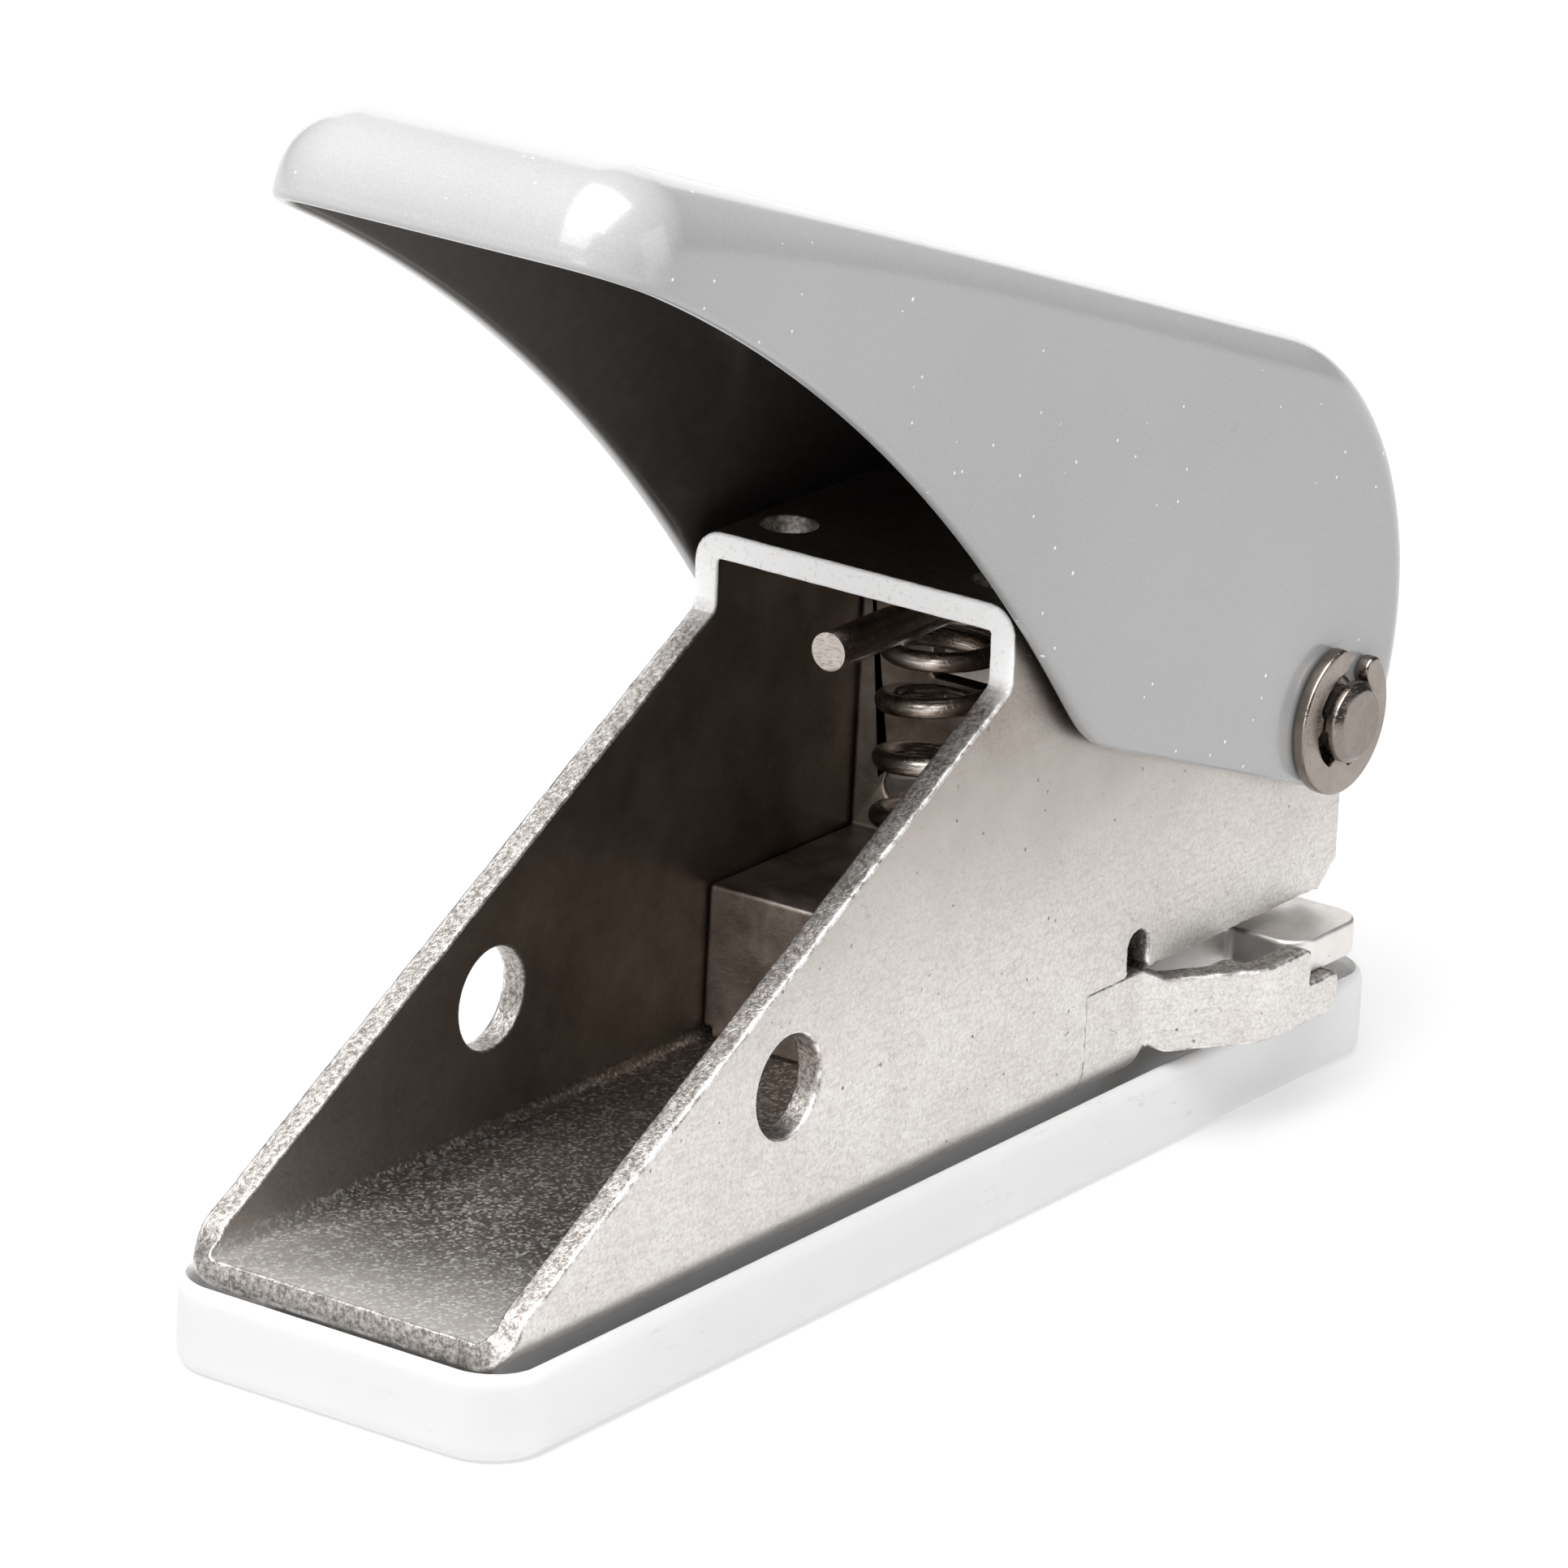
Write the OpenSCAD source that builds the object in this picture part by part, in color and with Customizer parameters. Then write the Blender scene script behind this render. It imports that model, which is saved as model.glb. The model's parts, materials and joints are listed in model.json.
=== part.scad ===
// One-hole desk punch: a folded steel frame on a snap-on chip tray, with a
// pressed steel lever on a hinge pin and a spring-lifted punch pin.
// Millimetres. +X runs from the ramp end to the paper throat, +Z is up.
// The origin is on the tray's underside, at the middle of its outline.

/* [Tray] */
// Length of the tray
tray_l = 108; // [100:1:130]
// Height of the tray's rim
tray_h = 6.3; // [6:0.1:9]
// Wall of the tray
tray_wall = 1.1; // [0.8:0.1:1.8]
// Floor of the tray
tray_floor = 1.1; // [0.8:0.1:1.6]
// Outer corner radius of the tray
tray_corner_r = 4.5; // [4:0.1:9]

/* [Frame] */
// Outer width of the frame
frame_w = 27; // [22:0.5:34]
// Height of the frame's top plate above the table
frame_h = 45.5; // [40:0.5:56]
// Thickness of the frame's sheet
sheet = 2; // [1.6:0.1:2.4]
// Distance of the bridge's front edge in front of the hinge
bridge_reach = 39; // [36:0.5:44]
// Diameter of the cross holes through both side walls
side_hole_d = 7.4; // [5:0.1:10]
// Height of the upper edge of the paper slot
slot_z = 14; // [13.5:0.1:16]
// Height of the paper slot
slot_gap = 1.1; // [0.8:0.1:1.8]

/* [Hinge] */
// Height of the hinge axis
hinge_z = 28.5; // [26:0.5:32]
// Diameter of the hinge pin
hinge_d = 6; // [5:0.1:7]
// Outer diameter of the retaining clips
clip_d = 11.4; // [10:0.1:13]

/* [Lever] */
// Length of the lever from the hinge axis to its free end
lever_reach = 102; // [85:1:125]
// Angle of the raised lever above level
lever_angle = 19.8; // [17:0.1:22]
// Thickness of the lever's sheet
lever_sheet = 1.5; // [1.2:0.1:1.8]
// Height of the lip at the free end
lip_h = 7.6; // [5:0.1:10]

/* [Punch] */
// Diameter of the punch pin and of the hole it makes
punch_d = 6; // [5:0.1:7]
// Distance of the punch pin in front of the hinge
punch_reach = 12; // [11:0.1:13]
// Diameter of the lift rod
rod_d = 2.8; // [2:0.1:3.2]
// Thickness of the die plate
die_t = 2.6; // [2:0.1:3]

/* [Return spring] */
// Outer diameter of the spring
spring_od = 10.4; // [8:0.1:12]
// Wire of the spring
spring_wire = 1.5; // [1:0.1:1.8]
// Turns between the closed ends
spring_turns = 3.2; // [2.2:0.1:4]

/* [Hidden] */
$fn = 64;
eps = 0.01;        // overshoot of a cut past a face
run_gap = 0.05;    // radial clearance of a pin in its bore
fit_gap = 0.1;     // clearance of a piece between two walls
side_gap = 0.6;    // lever wall to frame wall

// tray
tray_w = frame_w + 2 * (fit_gap + tray_wall);
rim_corner_r = tray_corner_r - 2 * tray_wall;
seat_z = tray_h - 0.5;            // the frame's floor stands on the ribs here
rib_t = 1;
rib_y = frame_w / 2 - 4;
rib_end = 6;                      // ribs stop this far short of the tray's ends

// frame
bend_r = sheet + 0.8;             // outer radius of the lower bends
crown_r = sheet + 0.2;            // outer radius of the upper bends
frame_corner_r = max(rim_corner_r - 0.6, 0.2);   // clears the rim's corner
front_gap = 0.7;
front_x = -tray_l / 2 + tray_wall + front_gap;
hinge_x = tray_l / 2 - 11.5;
bridge_x = hinge_x - bridge_reach;
wall_rear_x = hinge_x + 5.5;
floor_rear_x = wall_rear_x - 0.5;
floor_top_z = seat_z + sheet;
wall_foot_z = seat_z + bend_r;
ramp_top_z = frame_h - 5.85;
ramp_foot_x = front_x + 0.6;
crown_rear_x = hinge_x - 5.5;     // rear edge of the top plate
shoulder_z = hinge_z + 4.5;       // the wall's rear edge starts here
inner_w = frame_w - 2 * sheet;
side_hole_x = bridge_x - 24.5;
side_hole_z = 17.6;
locate_d = 4;                     // two locating holes in the top plate
locate_x = bridge_x + 5;
locate_y = frame_w / 2 - 4.5;
chip_hole_d = punch_d + 2;

// ears: the strip of wall below the slot, bent outwards as paper guides
seam = 0.3;
seam_x = hinge_x - 27;
ear_bend_x = hinge_x - 19.3;
ear_out_x = hinge_x - 11.3;
ear_end_x = hinge_x - 1.7;
ear_out = 5.2;
ear_low_z = seat_z + 1.6;
ear_top_z = slot_z - 1;
notch_x = hinge_x - 5.5;
relief_w = 2.6;
relief_h = 3.2;

// die plate
die_top_z = slot_z - slot_gap;
die_z = die_top_z - die_t;
die_front_x = seam_x + 4.5;
tab_x = notch_x + fit_gap;
tab_end_x = hinge_x + 3.6;
tab_y = frame_w / 2 + ear_out - 1.2;

// punch pin and guides
punch_x = hinge_x - punch_reach;
dome_r = 9;
head_d = 10;
head_gap = 0.6;                   // head to the lever's inner face
lever_over = 7.2;                 // lever's inner face above the top plate, pressed
lever_h = frame_h - hinge_z + lever_over + lever_sheet;
face_h = lever_h - lever_sheet;   // inner face above the hinge, in the lever's frame
dome_z_rest = hinge_z + (face_h + punch_reach * sin(lever_angle) - dome_r - head_gap)
              / cos(lever_angle);
dome_z_pressed = hinge_z + face_h - dome_r - head_gap;
stroke = dome_z_rest - dome_z_pressed;
head_low_z = frame_h + stroke + 0.3;
guide_t = 2;
guide_z = slot_z + fit_gap;
punch_tip_z = slot_z + 0.6;
bush_d = 8.4;
bush_flange_d = 11;
bush_flange_t = 1.2;
rod_z = frame_h - 5.5;
rod_front_x = bridge_x - 2.65;
rod_rear_x = punch_x + punch_d / 2 + 1.4;
rod_clip_t = 0.6;
rod_clip_d = 2 * (frame_h - sheet - bush_flange_t - rod_z - 0.2);   // under the bush's flange

// spring bracket: foot, riser, shelf and rear wall, folded from one strip
bracket_t = 1.6;
riser_x = bridge_x + 0.7;
shelf_z = 19.3;
bracket_wall_x = hinge_x - 21;
window_w = 10;
window_z = rod_z - stroke - rod_d / 2 - 1.5;
foot_l = 12;
flange_h = 13;                    // guide bracket's upright flange
rivet_d = 3;
rivet_head_d = 5.2;
rivet_head_t = 0.9;

// spring and its seat
spring_x = bracket_wall_x - spring_od / 2 - 0.3;
spring_r = (spring_od - spring_wire) / 2;
seat_t = 0.8;
spring_z = shelf_z + seat_t;
spring_top_z = rod_z - rod_d / 2;
end_pitch = spring_wire * 1.08;

// lever
lever_w = frame_w + 2 * (side_gap + lever_sheet);
lever_tail = 8.9;                 // hinge axis to the lever's rear face
tail_r = 24;                      // radius of the rear top corner
skirt = 5.3;                      // side walls below the hinge axis
skirt_reach = 31.3;               // where the flat lower edge ends
edge_r = 146;                     // radius of the rising lower edge
nose_r = 6;                       // free end's corners in plan
nose_top_r = min(6.3, lip_h - 1.3);   // free end's top edge in side view
heel_r = 3;
heel_cut = 3.4;                   // rear wall stops this far below the axis

// hinge pin
clip_t = 1;
clip_y = lever_w / 2 + 0.2;
pin_end_y = clip_y + clip_t + 1.3;
groove_d = hinge_d - 1.2;
washer_t = side_gap - 0.2;

// ---- shared shapes ----

// Plan outline with rounded corners, from x0 to x1 and symmetric about Y = 0
module plan_block(x0, x1, w, r, z0, z1)
    translate([0, 0, z0]) linear_extrude(z1 - z0) union() {
        translate([x0 + r, -w / 2]) square([x1 - x0 - 2 * r, w]);
        translate([x0, -w / 2 + r]) square([x1 - x0, w - 2 * r]);
        for (x = [x0 + r, x1 - r], y = [-w / 2 + r, w / 2 - r]) translate([x, y]) circle(r);
    }

// Block given by its two corners
module box(lo, hi) translate(lo) cube(hi - lo);

// Cylinder along Y between y0 and y1, at x and z
module rod_y(x, z, d, y0, y1)
    translate([x, y1, z]) rotate([90, 0, 0]) cylinder(d = d, h = y1 - y0);

// Cylinder along X between x0 and x1, at y and z
module rod_x(x0, x1, y, z, d)
    translate([x0, y, z]) rotate([0, 90, 0]) cylinder(d = d, h = x1 - x0);

// Shape drawn in X and Z, w wide along Y
module side_extrude(w) rotate([90, 0, 0]) linear_extrude(w, center = true) children();

// Quarter ring along X that joins a flat sheet to a wall; up is 1 or -1
module bend(x0, x1, r, z, up)
    for (s = [-1, 1]) intersection() {
        difference() {
            rod_x(x0, x1, s * (frame_w / 2 - r), z + up * r, 2 * r);
            rod_x(x0 - 1, x1 + 1, s * (frame_w / 2 - r), z + up * r, 2 * (r - sheet));
        }
        box([x0 - 1, s > 0 ? frame_w / 2 - r : -frame_w / 2 - 1, min(z, z + up * r)],
            [x1 + 1, s > 0 ? frame_w / 2 + 1 : -frame_w / 2 + r, max(z, z + up * r)]);
    }

// Rivet along +Z with one flat head, its end flush at z0
module rivet(z0, head_z)
    union() {
        cylinder(d = rivet_d, h = head_z - z0);
        translate([0, 0, head_z - z0]) cylinder(d = rivet_head_d, h = rivet_head_t);
    }

// ---- tray ----

module chip_tray() color("white") union() {
    difference() {
        plan_block(-tray_l / 2, tray_l / 2, tray_w, tray_corner_r, 0, tray_h);
        plan_block(-tray_l / 2 + tray_wall, tray_l / 2 - tray_wall, tray_w - 2 * tray_wall,
                   rim_corner_r, tray_floor, tray_h + 1);
    }
    for (s = [-1, 1])
        box([-tray_l / 2 + rib_end, s * rib_y - rib_t / 2, tray_floor - eps],
            [tray_l / 2 - rib_end, s * rib_y + rib_t / 2, seat_z]);
}

// ---- frame ----

// Side wall above the lower bends, up to the upper bends
module wall_outline() polygon([
    [ramp_foot_x, wall_foot_z], [bridge_x, ramp_top_z],
    [bridge_x, frame_h - crown_r], [crown_rear_x, frame_h - crown_r],
    [wall_rear_x, shoulder_z], [wall_rear_x, slot_z + 1.85], [wall_rear_x - 2.1, slot_z],
    [seam_x, slot_z], [seam_x - seam / 2, slot_z - seam], [seam_x - seam / 2, wall_foot_z]]);

// Plan of one ear with its two bends, on the +Y side
module ear_plan() {
    y = frame_w / 2;
    turn = atan(ear_out / (ear_out_x - ear_bend_x));
    shift = sheet * tan(turn / 2);
    polygon([
        [seam_x + seam / 2, y], [ear_bend_x, y], [ear_out_x, y + ear_out],
        [ear_end_x, y + ear_out], [ear_end_x, y + ear_out - sheet],
        [ear_out_x + shift, y + ear_out - sheet], [ear_bend_x + shift, y - sheet],
        [seam_x + seam / 2, y - sheet]]);
}

// Side view of an ear: full height at the seam, notched at the rear for the die plate
module ear_outline() {
    r = 2;
    difference() {
        union() {
            translate([seam_x, wall_foot_z - eps])
                square([ear_bend_x - seam_x, slot_z - seam - wall_foot_z + eps]);
            translate([ear_bend_x - eps, ear_low_z])
                square([ear_end_x - ear_bend_x - r, ear_top_z - ear_low_z]);
            translate([ear_end_x - r - 1, ear_low_z + r])
                square([r + 1, die_z - ear_low_z - r]);
            translate([ear_end_x - r, ear_low_z + r]) circle(r);
        }
        translate([notch_x, die_z]) square([ear_end_x, 20]);
    }
}

// Side view of the relief above the slot, with a round top
module relief_outline() {
    low = slot_z - seam / 2;
    translate([ear_bend_x - relief_w, low]) square([relief_w, relief_h - relief_w / 2 + seam / 2]);
    translate([ear_bend_x - relief_w / 2, slot_z + relief_h - relief_w / 2]) circle(d = relief_w);
}

module ears() for (s = [0, 1]) mirror([0, s, 0]) intersection() {
    linear_extrude(slot_z + 1) ear_plan();
    side_extrude(3 * frame_w) ear_outline();
}

// What the rounded front corners take off, in plan
module corner_cuts() for (s = [0, 1]) mirror([0, s, 0]) translate([0, 0, -1])
    linear_extrude(frame_h) translate([front_x, frame_w / 2]) difference() {
        translate([-1, -frame_corner_r]) square([frame_corner_r + 1, frame_corner_r + 1]);
        translate([frame_corner_r, -frame_corner_r]) circle(frame_corner_r);
    }

module frame() color("silver") difference() {
    union() {
        // floor, with bends up to the seam and past it to the ears
        box([front_x, -frame_w / 2 + bend_r, seat_z],
            [floor_rear_x, frame_w / 2 - bend_r, floor_top_z]);
        bend(front_x, seam_x - seam / 2, bend_r, seat_z, 1);
        bend(seam_x + seam / 2, ear_bend_x, bend_r, seat_z, 1);
        // top plate and its bends
        box([bridge_x, -frame_w / 2 + crown_r, frame_h - sheet],
            [crown_rear_x, frame_w / 2 - crown_r, frame_h]);
        bend(bridge_x, crown_rear_x, crown_r, frame_h, -1);
        // side walls
        for (s = [0, 1]) mirror([0, s, 0]) translate([0, frame_w / 2 - sheet / 2, 0])
            side_extrude(sheet) wall_outline();
        ears();
    }
    corner_cuts();
    rod_y(side_hole_x, side_hole_z, side_hole_d, -frame_w, frame_w);
    rod_y(hinge_x, hinge_z, hinge_d + 2 * run_gap, -frame_w, frame_w);
    // reliefs at the inner ends of the flares, and the locating holes
    side_extrude(2 * frame_w) relief_outline();
    for (s = [-1, 1]) translate([locate_x, s * locate_y, frame_h - sheet - 1])
        cylinder(d = locate_d, h = sheet + 2);
    translate([punch_x, 0, seat_z - 1]) cylinder(d = chip_hole_d, h = sheet + 2);
    translate([punch_x, 0, frame_h - sheet - 1])
        cylinder(d = bush_d + 2 * run_gap, h = sheet + 2);
    for (p = concat(bracket_rivet_spots(), die_rivet_spots()))
        translate([p[0], p[1], seat_z - 1]) cylinder(d = rivet_d + 2 * run_gap, h = sheet + 2);
}

// ---- spring bracket and its rivets ----

function bracket_rivet_spots() = [for (s = [-1, 1]) [riser_x + foot_l - 4, s * (frame_w / 2 - 6.5)]];
function guide_rivet_spots() = [for (s = [-1, 1]) [s * (frame_w / 2 - 6.5), guide_z + flange_h - 4]];
function die_rivet_spots() = [for (s = [-1, 1]) [die_front_x + 3, s * (frame_w / 2 - 6)]];

module spring_bracket() color("silver") difference() {
    side_extrude(inner_w - 2 * fit_gap) union() {
        translate([riser_x, floor_top_z]) square([foot_l, bracket_t]);
        translate([riser_x, floor_top_z]) square([bracket_t, shelf_z - floor_top_z]);
        translate([riser_x, shelf_z - bracket_t])
            square([bracket_wall_x + bracket_t - riser_x, bracket_t]);
        translate([bracket_wall_x, shelf_z - bracket_t])
            square([bracket_t, frame_h - sheet - fit_gap - shelf_z + bracket_t]);
    }
    box([bracket_wall_x - 1, -window_w / 2, window_z],
        [bracket_wall_x + bracket_t + 1, window_w / 2, frame_h]);
    // the foot lies between the frame's lower bends
    for (s = [0, 1]) mirror([0, s, 0]) box([riser_x - 1, frame_w / 2 - bend_r, 0],
        [riser_x + foot_l + 1, frame_w, wall_foot_z]);
    for (p = bracket_rivet_spots())
        translate([p[0], p[1], 0]) cylinder(d = rivet_d + 2 * run_gap, h = shelf_z - bracket_t - 1);
    for (p = guide_rivet_spots())
        rod_x(bracket_wall_x - 1, bracket_wall_x + bracket_t + 1, p[0], p[1],
              rivet_d + 2 * run_gap);
}

module bracket_rivets() color("gray") for (p = bracket_rivet_spots())
    translate([p[0], p[1], seat_z]) rivet(seat_z, floor_top_z + bracket_t);

// ---- guide bracket: the stripper plate above the slot, with an upright flange ----

module guide_bracket() color("silver") difference() {
    side_extrude(inner_w - 2 * fit_gap) union() {
        translate([bracket_wall_x + bracket_t, guide_z])
            square([guide_t, flange_h]);
        translate([bracket_wall_x + bracket_t, guide_z])
            square([wall_rear_x - 3 - bracket_wall_x - bracket_t, guide_t]);
    }
    translate([punch_x, 0, guide_z - 1]) cylinder(d = punch_d + 2 * run_gap, h = guide_t + 2);
    for (p = guide_rivet_spots())
        rod_x(bracket_wall_x, bracket_wall_x + bracket_t + guide_t + 1, p[0], p[1],
              rivet_d + 2 * run_gap);
}

module guide_rivets() color("gray") for (p = guide_rivet_spots())
    translate([bracket_wall_x, p[0], p[1]]) rotate([0, 90, 0])
        rivet(0, bracket_t + guide_t);

// ---- guide bush in the top plate ----

module guide_bush() color("goldenrod") translate([punch_x, 0, 0]) difference() {
    union() {
        translate([0, 0, frame_h - sheet]) cylinder(d = bush_d, h = sheet);
        translate([0, 0, frame_h - sheet - bush_flange_t])
            cylinder(d = bush_flange_d, h = bush_flange_t);
    }
    translate([0, 0, frame_h - sheet - bush_flange_t - 1])
        cylinder(d = punch_d + 2 * run_gap, h = sheet + bush_flange_t + 2);
}

// ---- die plate: T-shaped, its tabs in the ears' notches ----

module die_plate() color("lightgray") difference() {
    union() {
        box([die_front_x, -inner_w / 2 + fit_gap, die_z],
            [tab_end_x, inner_w / 2 - fit_gap, die_top_z]);
        plan_block(tab_x, tab_end_x, 2 * tab_y, 2.2, die_z, die_top_z);
    }
    translate([punch_x, 0, die_z - 1]) cylinder(d = punch_d + 2 * run_gap, h = die_t + 2);
    for (p = die_rivet_spots())
        translate([p[0], p[1], die_z - 1]) cylinder(d = rivet_d + 2 * run_gap, h = die_t + 2);
}

// Shouldered rivets that hold the die plate's front end above the floor
module die_rivets() color("gray") for (p = die_rivet_spots())
    translate([p[0], p[1], seat_z]) union() {
        cylinder(d = rivet_d, h = die_top_z - seat_z);
        translate([0, 0, sheet]) cylinder(d = rivet_head_d, h = die_z - floor_top_z);
    }

// ---- spring and seat ----

module spring_seat() color("silver") translate([spring_x, 0, shelf_z]) union() {
    cylinder(d = spring_od + 0.2, h = seat_t);
    cylinder(d = spring_od - 2 * spring_wire - 0.8, h = seat_t + 1.6);
}

// Height of the wire's centre after t turns; both end turns are closed
function spring_rise(t) =
    let (open = spring_top_z - spring_z - spring_wire - 2 * end_pitch)
    t < 1 ? end_pitch * t
    : t < 1 + spring_turns ? end_pitch + open * (t - 1) / spring_turns
    : end_pitch + open + end_pitch * (t - 1 - spring_turns);

module return_spring() color("dimgray") {
    sides = 8;
    steps = 22;
    rings = round((spring_turns + 2) * steps);
    points = [for (i = [0 : rings], k = [0 : sides - 1])
        let (t = i / steps, a = 360 * t, b = 360 * k / sides, r = spring_wire / 2,
             // the top turn is wound a little smaller
             coil = spring_r - 0.7 * max(0, t - 1 - spring_turns),
             rr = coil + r * cos(b))
        [spring_x + rr * cos(a), rr * sin(a), spring_z + r + spring_rise(t) + r * sin(b)]];
    quads = [for (i = [0 : rings - 1], k = [0 : sides - 1])
        let (n = (k + 1) % sides)
        [i * sides + k, (i + 1) * sides + k, (i + 1) * sides + n, i * sides + n]];
    polyhedron(points, concat([[for (k = [0 : sides - 1]) k]], quads,
               [[for (k = [sides - 1 : -1 : 0]) rings * sides + k]]), convexity = 8);
}

// ---- punch pin, lift rod and its clip ----

module punch_pin() color("silver") difference() {
    union() {
        translate([punch_x, 0, punch_tip_z]) cylinder(d = punch_d, h = head_low_z - punch_tip_z + eps);
        intersection() {
            translate([punch_x, 0, head_low_z]) cylinder(d = head_d, h = 2 * dome_r);
            translate([punch_x, 0, dome_z_rest]) sphere(dome_r);
        }
    }
    rod_x(punch_x - punch_d, punch_x + punch_d, 0, rod_z, rod_d + 2 * run_gap);
}

module lift_rod() color("dimgray") rod_x(rod_front_x, rod_rear_x, 0, rod_z, rod_d);

module rod_clip() color("dimgray") difference() {
    rod_x(punch_x + punch_d / 2 + 0.2, punch_x + punch_d / 2 + 0.2 + rod_clip_t, 0, rod_z,
          rod_clip_d);
    rod_x(punch_x, rod_rear_x + 1, 0, rod_z, rod_d + 2 * run_gap);
}

// ---- hinge ----

module hinge_pin() color("gray") difference() {
    union() {
        rod_y(hinge_x, hinge_z, hinge_d, -pin_end_y + 0.5, pin_end_y - 0.5);
        for (s = [0, 1]) mirror([0, s, 0]) translate([hinge_x, pin_end_y - 0.5, hinge_z])
            rotate([-90, 0, 0]) cylinder(d1 = hinge_d, d2 = hinge_d - 1, h = 0.5);
    }
    for (s = [0, 1]) mirror([0, s, 0]) difference() {
        rod_y(hinge_x, hinge_z, hinge_d + 1, clip_y, clip_y + clip_t);
        rod_y(hinge_x, hinge_z, groove_d, clip_y - 1, clip_y + clip_t + 1);
    }
}

module hinge_washers() color("silver") for (s = [0, 1]) mirror([0, s, 0]) difference() {
    rod_y(hinge_x, hinge_z, hinge_d + 3.4, frame_w / 2 + 0.1, frame_w / 2 + 0.1 + washer_t);
    rod_y(hinge_x, hinge_z, hinge_d + 2 * run_gap, 0, frame_w);
}

// Retaining clip, open upwards, with three lobes that reach the groove
module clip_outline() difference() {
    circle(d = clip_d);
    difference() {
        circle(d = hinge_d + 1.6);
        for (a = [180, 270, 360]) rotate(a) difference() {
            translate([0, -1.5]) square([hinge_d, 3]);
            circle(d = groove_d + 2 * run_gap);
        }
    }
    translate([-hinge_d / 2 + 0.1, 0]) square([hinge_d - 0.2, clip_d]);
    circle(d = groove_d + 2 * run_gap);
}

module e_clips() color("dimgray") for (s = [0, 1]) mirror([0, s, 0])
    translate([hinge_x, clip_y + clip_t, hinge_z]) rotate([90, 0, 0])
        linear_extrude(clip_t) rotate(-12) clip_outline();

// ---- lever ----

// Side view, in the lever's own frame: hinge axis at the origin, free end at -X,
// inset by t all round and carried on downwards by drop
module lever_outline(t, drop) union() {
    c = lever_tail - tail_r;
    low = -skirt - drop;
    translate([-lever_reach + nose_top_r, low])
        square([lever_reach - nose_top_r + c, lever_h - t - low]);
    translate([-lever_reach + nose_top_r, lever_h - nose_top_r]) intersection() {
        circle(nose_top_r - t, $fn = 96);
        translate([-nose_top_r, 0]) square(nose_top_r);
    }
    translate([-lever_reach + t, low])
        square([lever_reach + c - t, lever_h - nose_top_r - low]);
    translate([c, low]) square([tail_r - t, lever_h - tail_r - low]);
    translate([c, lever_h - tail_r]) intersection() {
        circle(tail_r - t, $fn = 180);
        square(tail_r);
    }
}

// Centre of the lower edge's arc, from the end of the flat edge to the lip
function edge_centre() =
    let (a = [-skirt_reach, -skirt], b = [-lever_reach, lever_h - lip_h],
         chord = norm(b - a), d = (b - a) / chord, m = (a + b) / 2)
    m + sqrt(edge_r * edge_r - chord * chord / 4) * [-abs(d[1]), -abs(d[0])];

module lever_solid(t, drop)
    intersection() {
        side_extrude(lever_w - 2 * t) lever_outline(t, drop);
        union() {
            plan_block(-lever_reach + t, 0, lever_w - 2 * t, nose_r - t, -99, 99);
            plan_block(-lever_reach / 2, lever_tail - t, lever_w - 2 * t, heel_r - t, -99, 99);
        }
    }

module lever_shell() color("whitesmoke")
    translate([hinge_x, 0, hinge_z]) rotate([0, lever_angle, 0]) difference() {
        lever_solid(0, 0);
        lever_solid(lever_sheet, 40);
        side_extrude(2 * lever_w) translate(edge_centre()) circle(edge_r, $fn = 360);
        box([lever_tail - heel_r, -lever_w, -2 * skirt], [lever_tail + 1, lever_w, -heel_cut]);
        rod_y(0, 0, hinge_d + 2 * run_gap, -lever_w, lever_w);
    }

chip_tray();
frame();
spring_bracket();
bracket_rivets();
guide_bracket();
guide_rivets();
guide_bush();
die_plate();
die_rivets();
spring_seat();
return_spring();
punch_pin();
lift_rod();
rod_clip();
hinge_pin();
hinge_washers();
e_clips();
lever_shell();
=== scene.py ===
import json
import math

import bpy
import numpy as np
from mathutils import Matrix, Vector, kdtree
from mathutils.geometry import delaunay_2d_cdt


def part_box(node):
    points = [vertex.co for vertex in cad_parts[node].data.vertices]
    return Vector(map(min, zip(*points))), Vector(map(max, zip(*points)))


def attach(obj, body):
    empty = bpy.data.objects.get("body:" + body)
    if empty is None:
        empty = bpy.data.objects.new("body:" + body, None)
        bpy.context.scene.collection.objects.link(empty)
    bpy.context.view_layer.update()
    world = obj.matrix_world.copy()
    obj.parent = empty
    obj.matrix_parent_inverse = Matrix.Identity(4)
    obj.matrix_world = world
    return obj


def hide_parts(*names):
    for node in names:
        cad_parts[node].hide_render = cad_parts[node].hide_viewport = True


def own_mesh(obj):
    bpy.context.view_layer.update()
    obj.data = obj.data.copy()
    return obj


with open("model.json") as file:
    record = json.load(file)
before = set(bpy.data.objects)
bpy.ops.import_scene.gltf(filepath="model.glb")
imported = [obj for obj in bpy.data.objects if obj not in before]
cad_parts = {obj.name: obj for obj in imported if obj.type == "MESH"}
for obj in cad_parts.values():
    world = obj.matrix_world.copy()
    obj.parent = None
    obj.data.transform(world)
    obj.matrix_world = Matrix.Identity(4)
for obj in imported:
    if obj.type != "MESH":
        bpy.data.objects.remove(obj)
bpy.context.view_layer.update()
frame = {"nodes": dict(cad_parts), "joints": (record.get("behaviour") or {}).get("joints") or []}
scene = bpy.context.scene

MM = 0.001
DEG = math.pi / 180


# ---- sizes in mm, from the CAD frame
def span(node):
    """Lowest and highest corner of a CAD node, in mm."""
    lo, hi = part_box(node)
    return np.array(lo) / MM, np.array(hi) / MM


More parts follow.
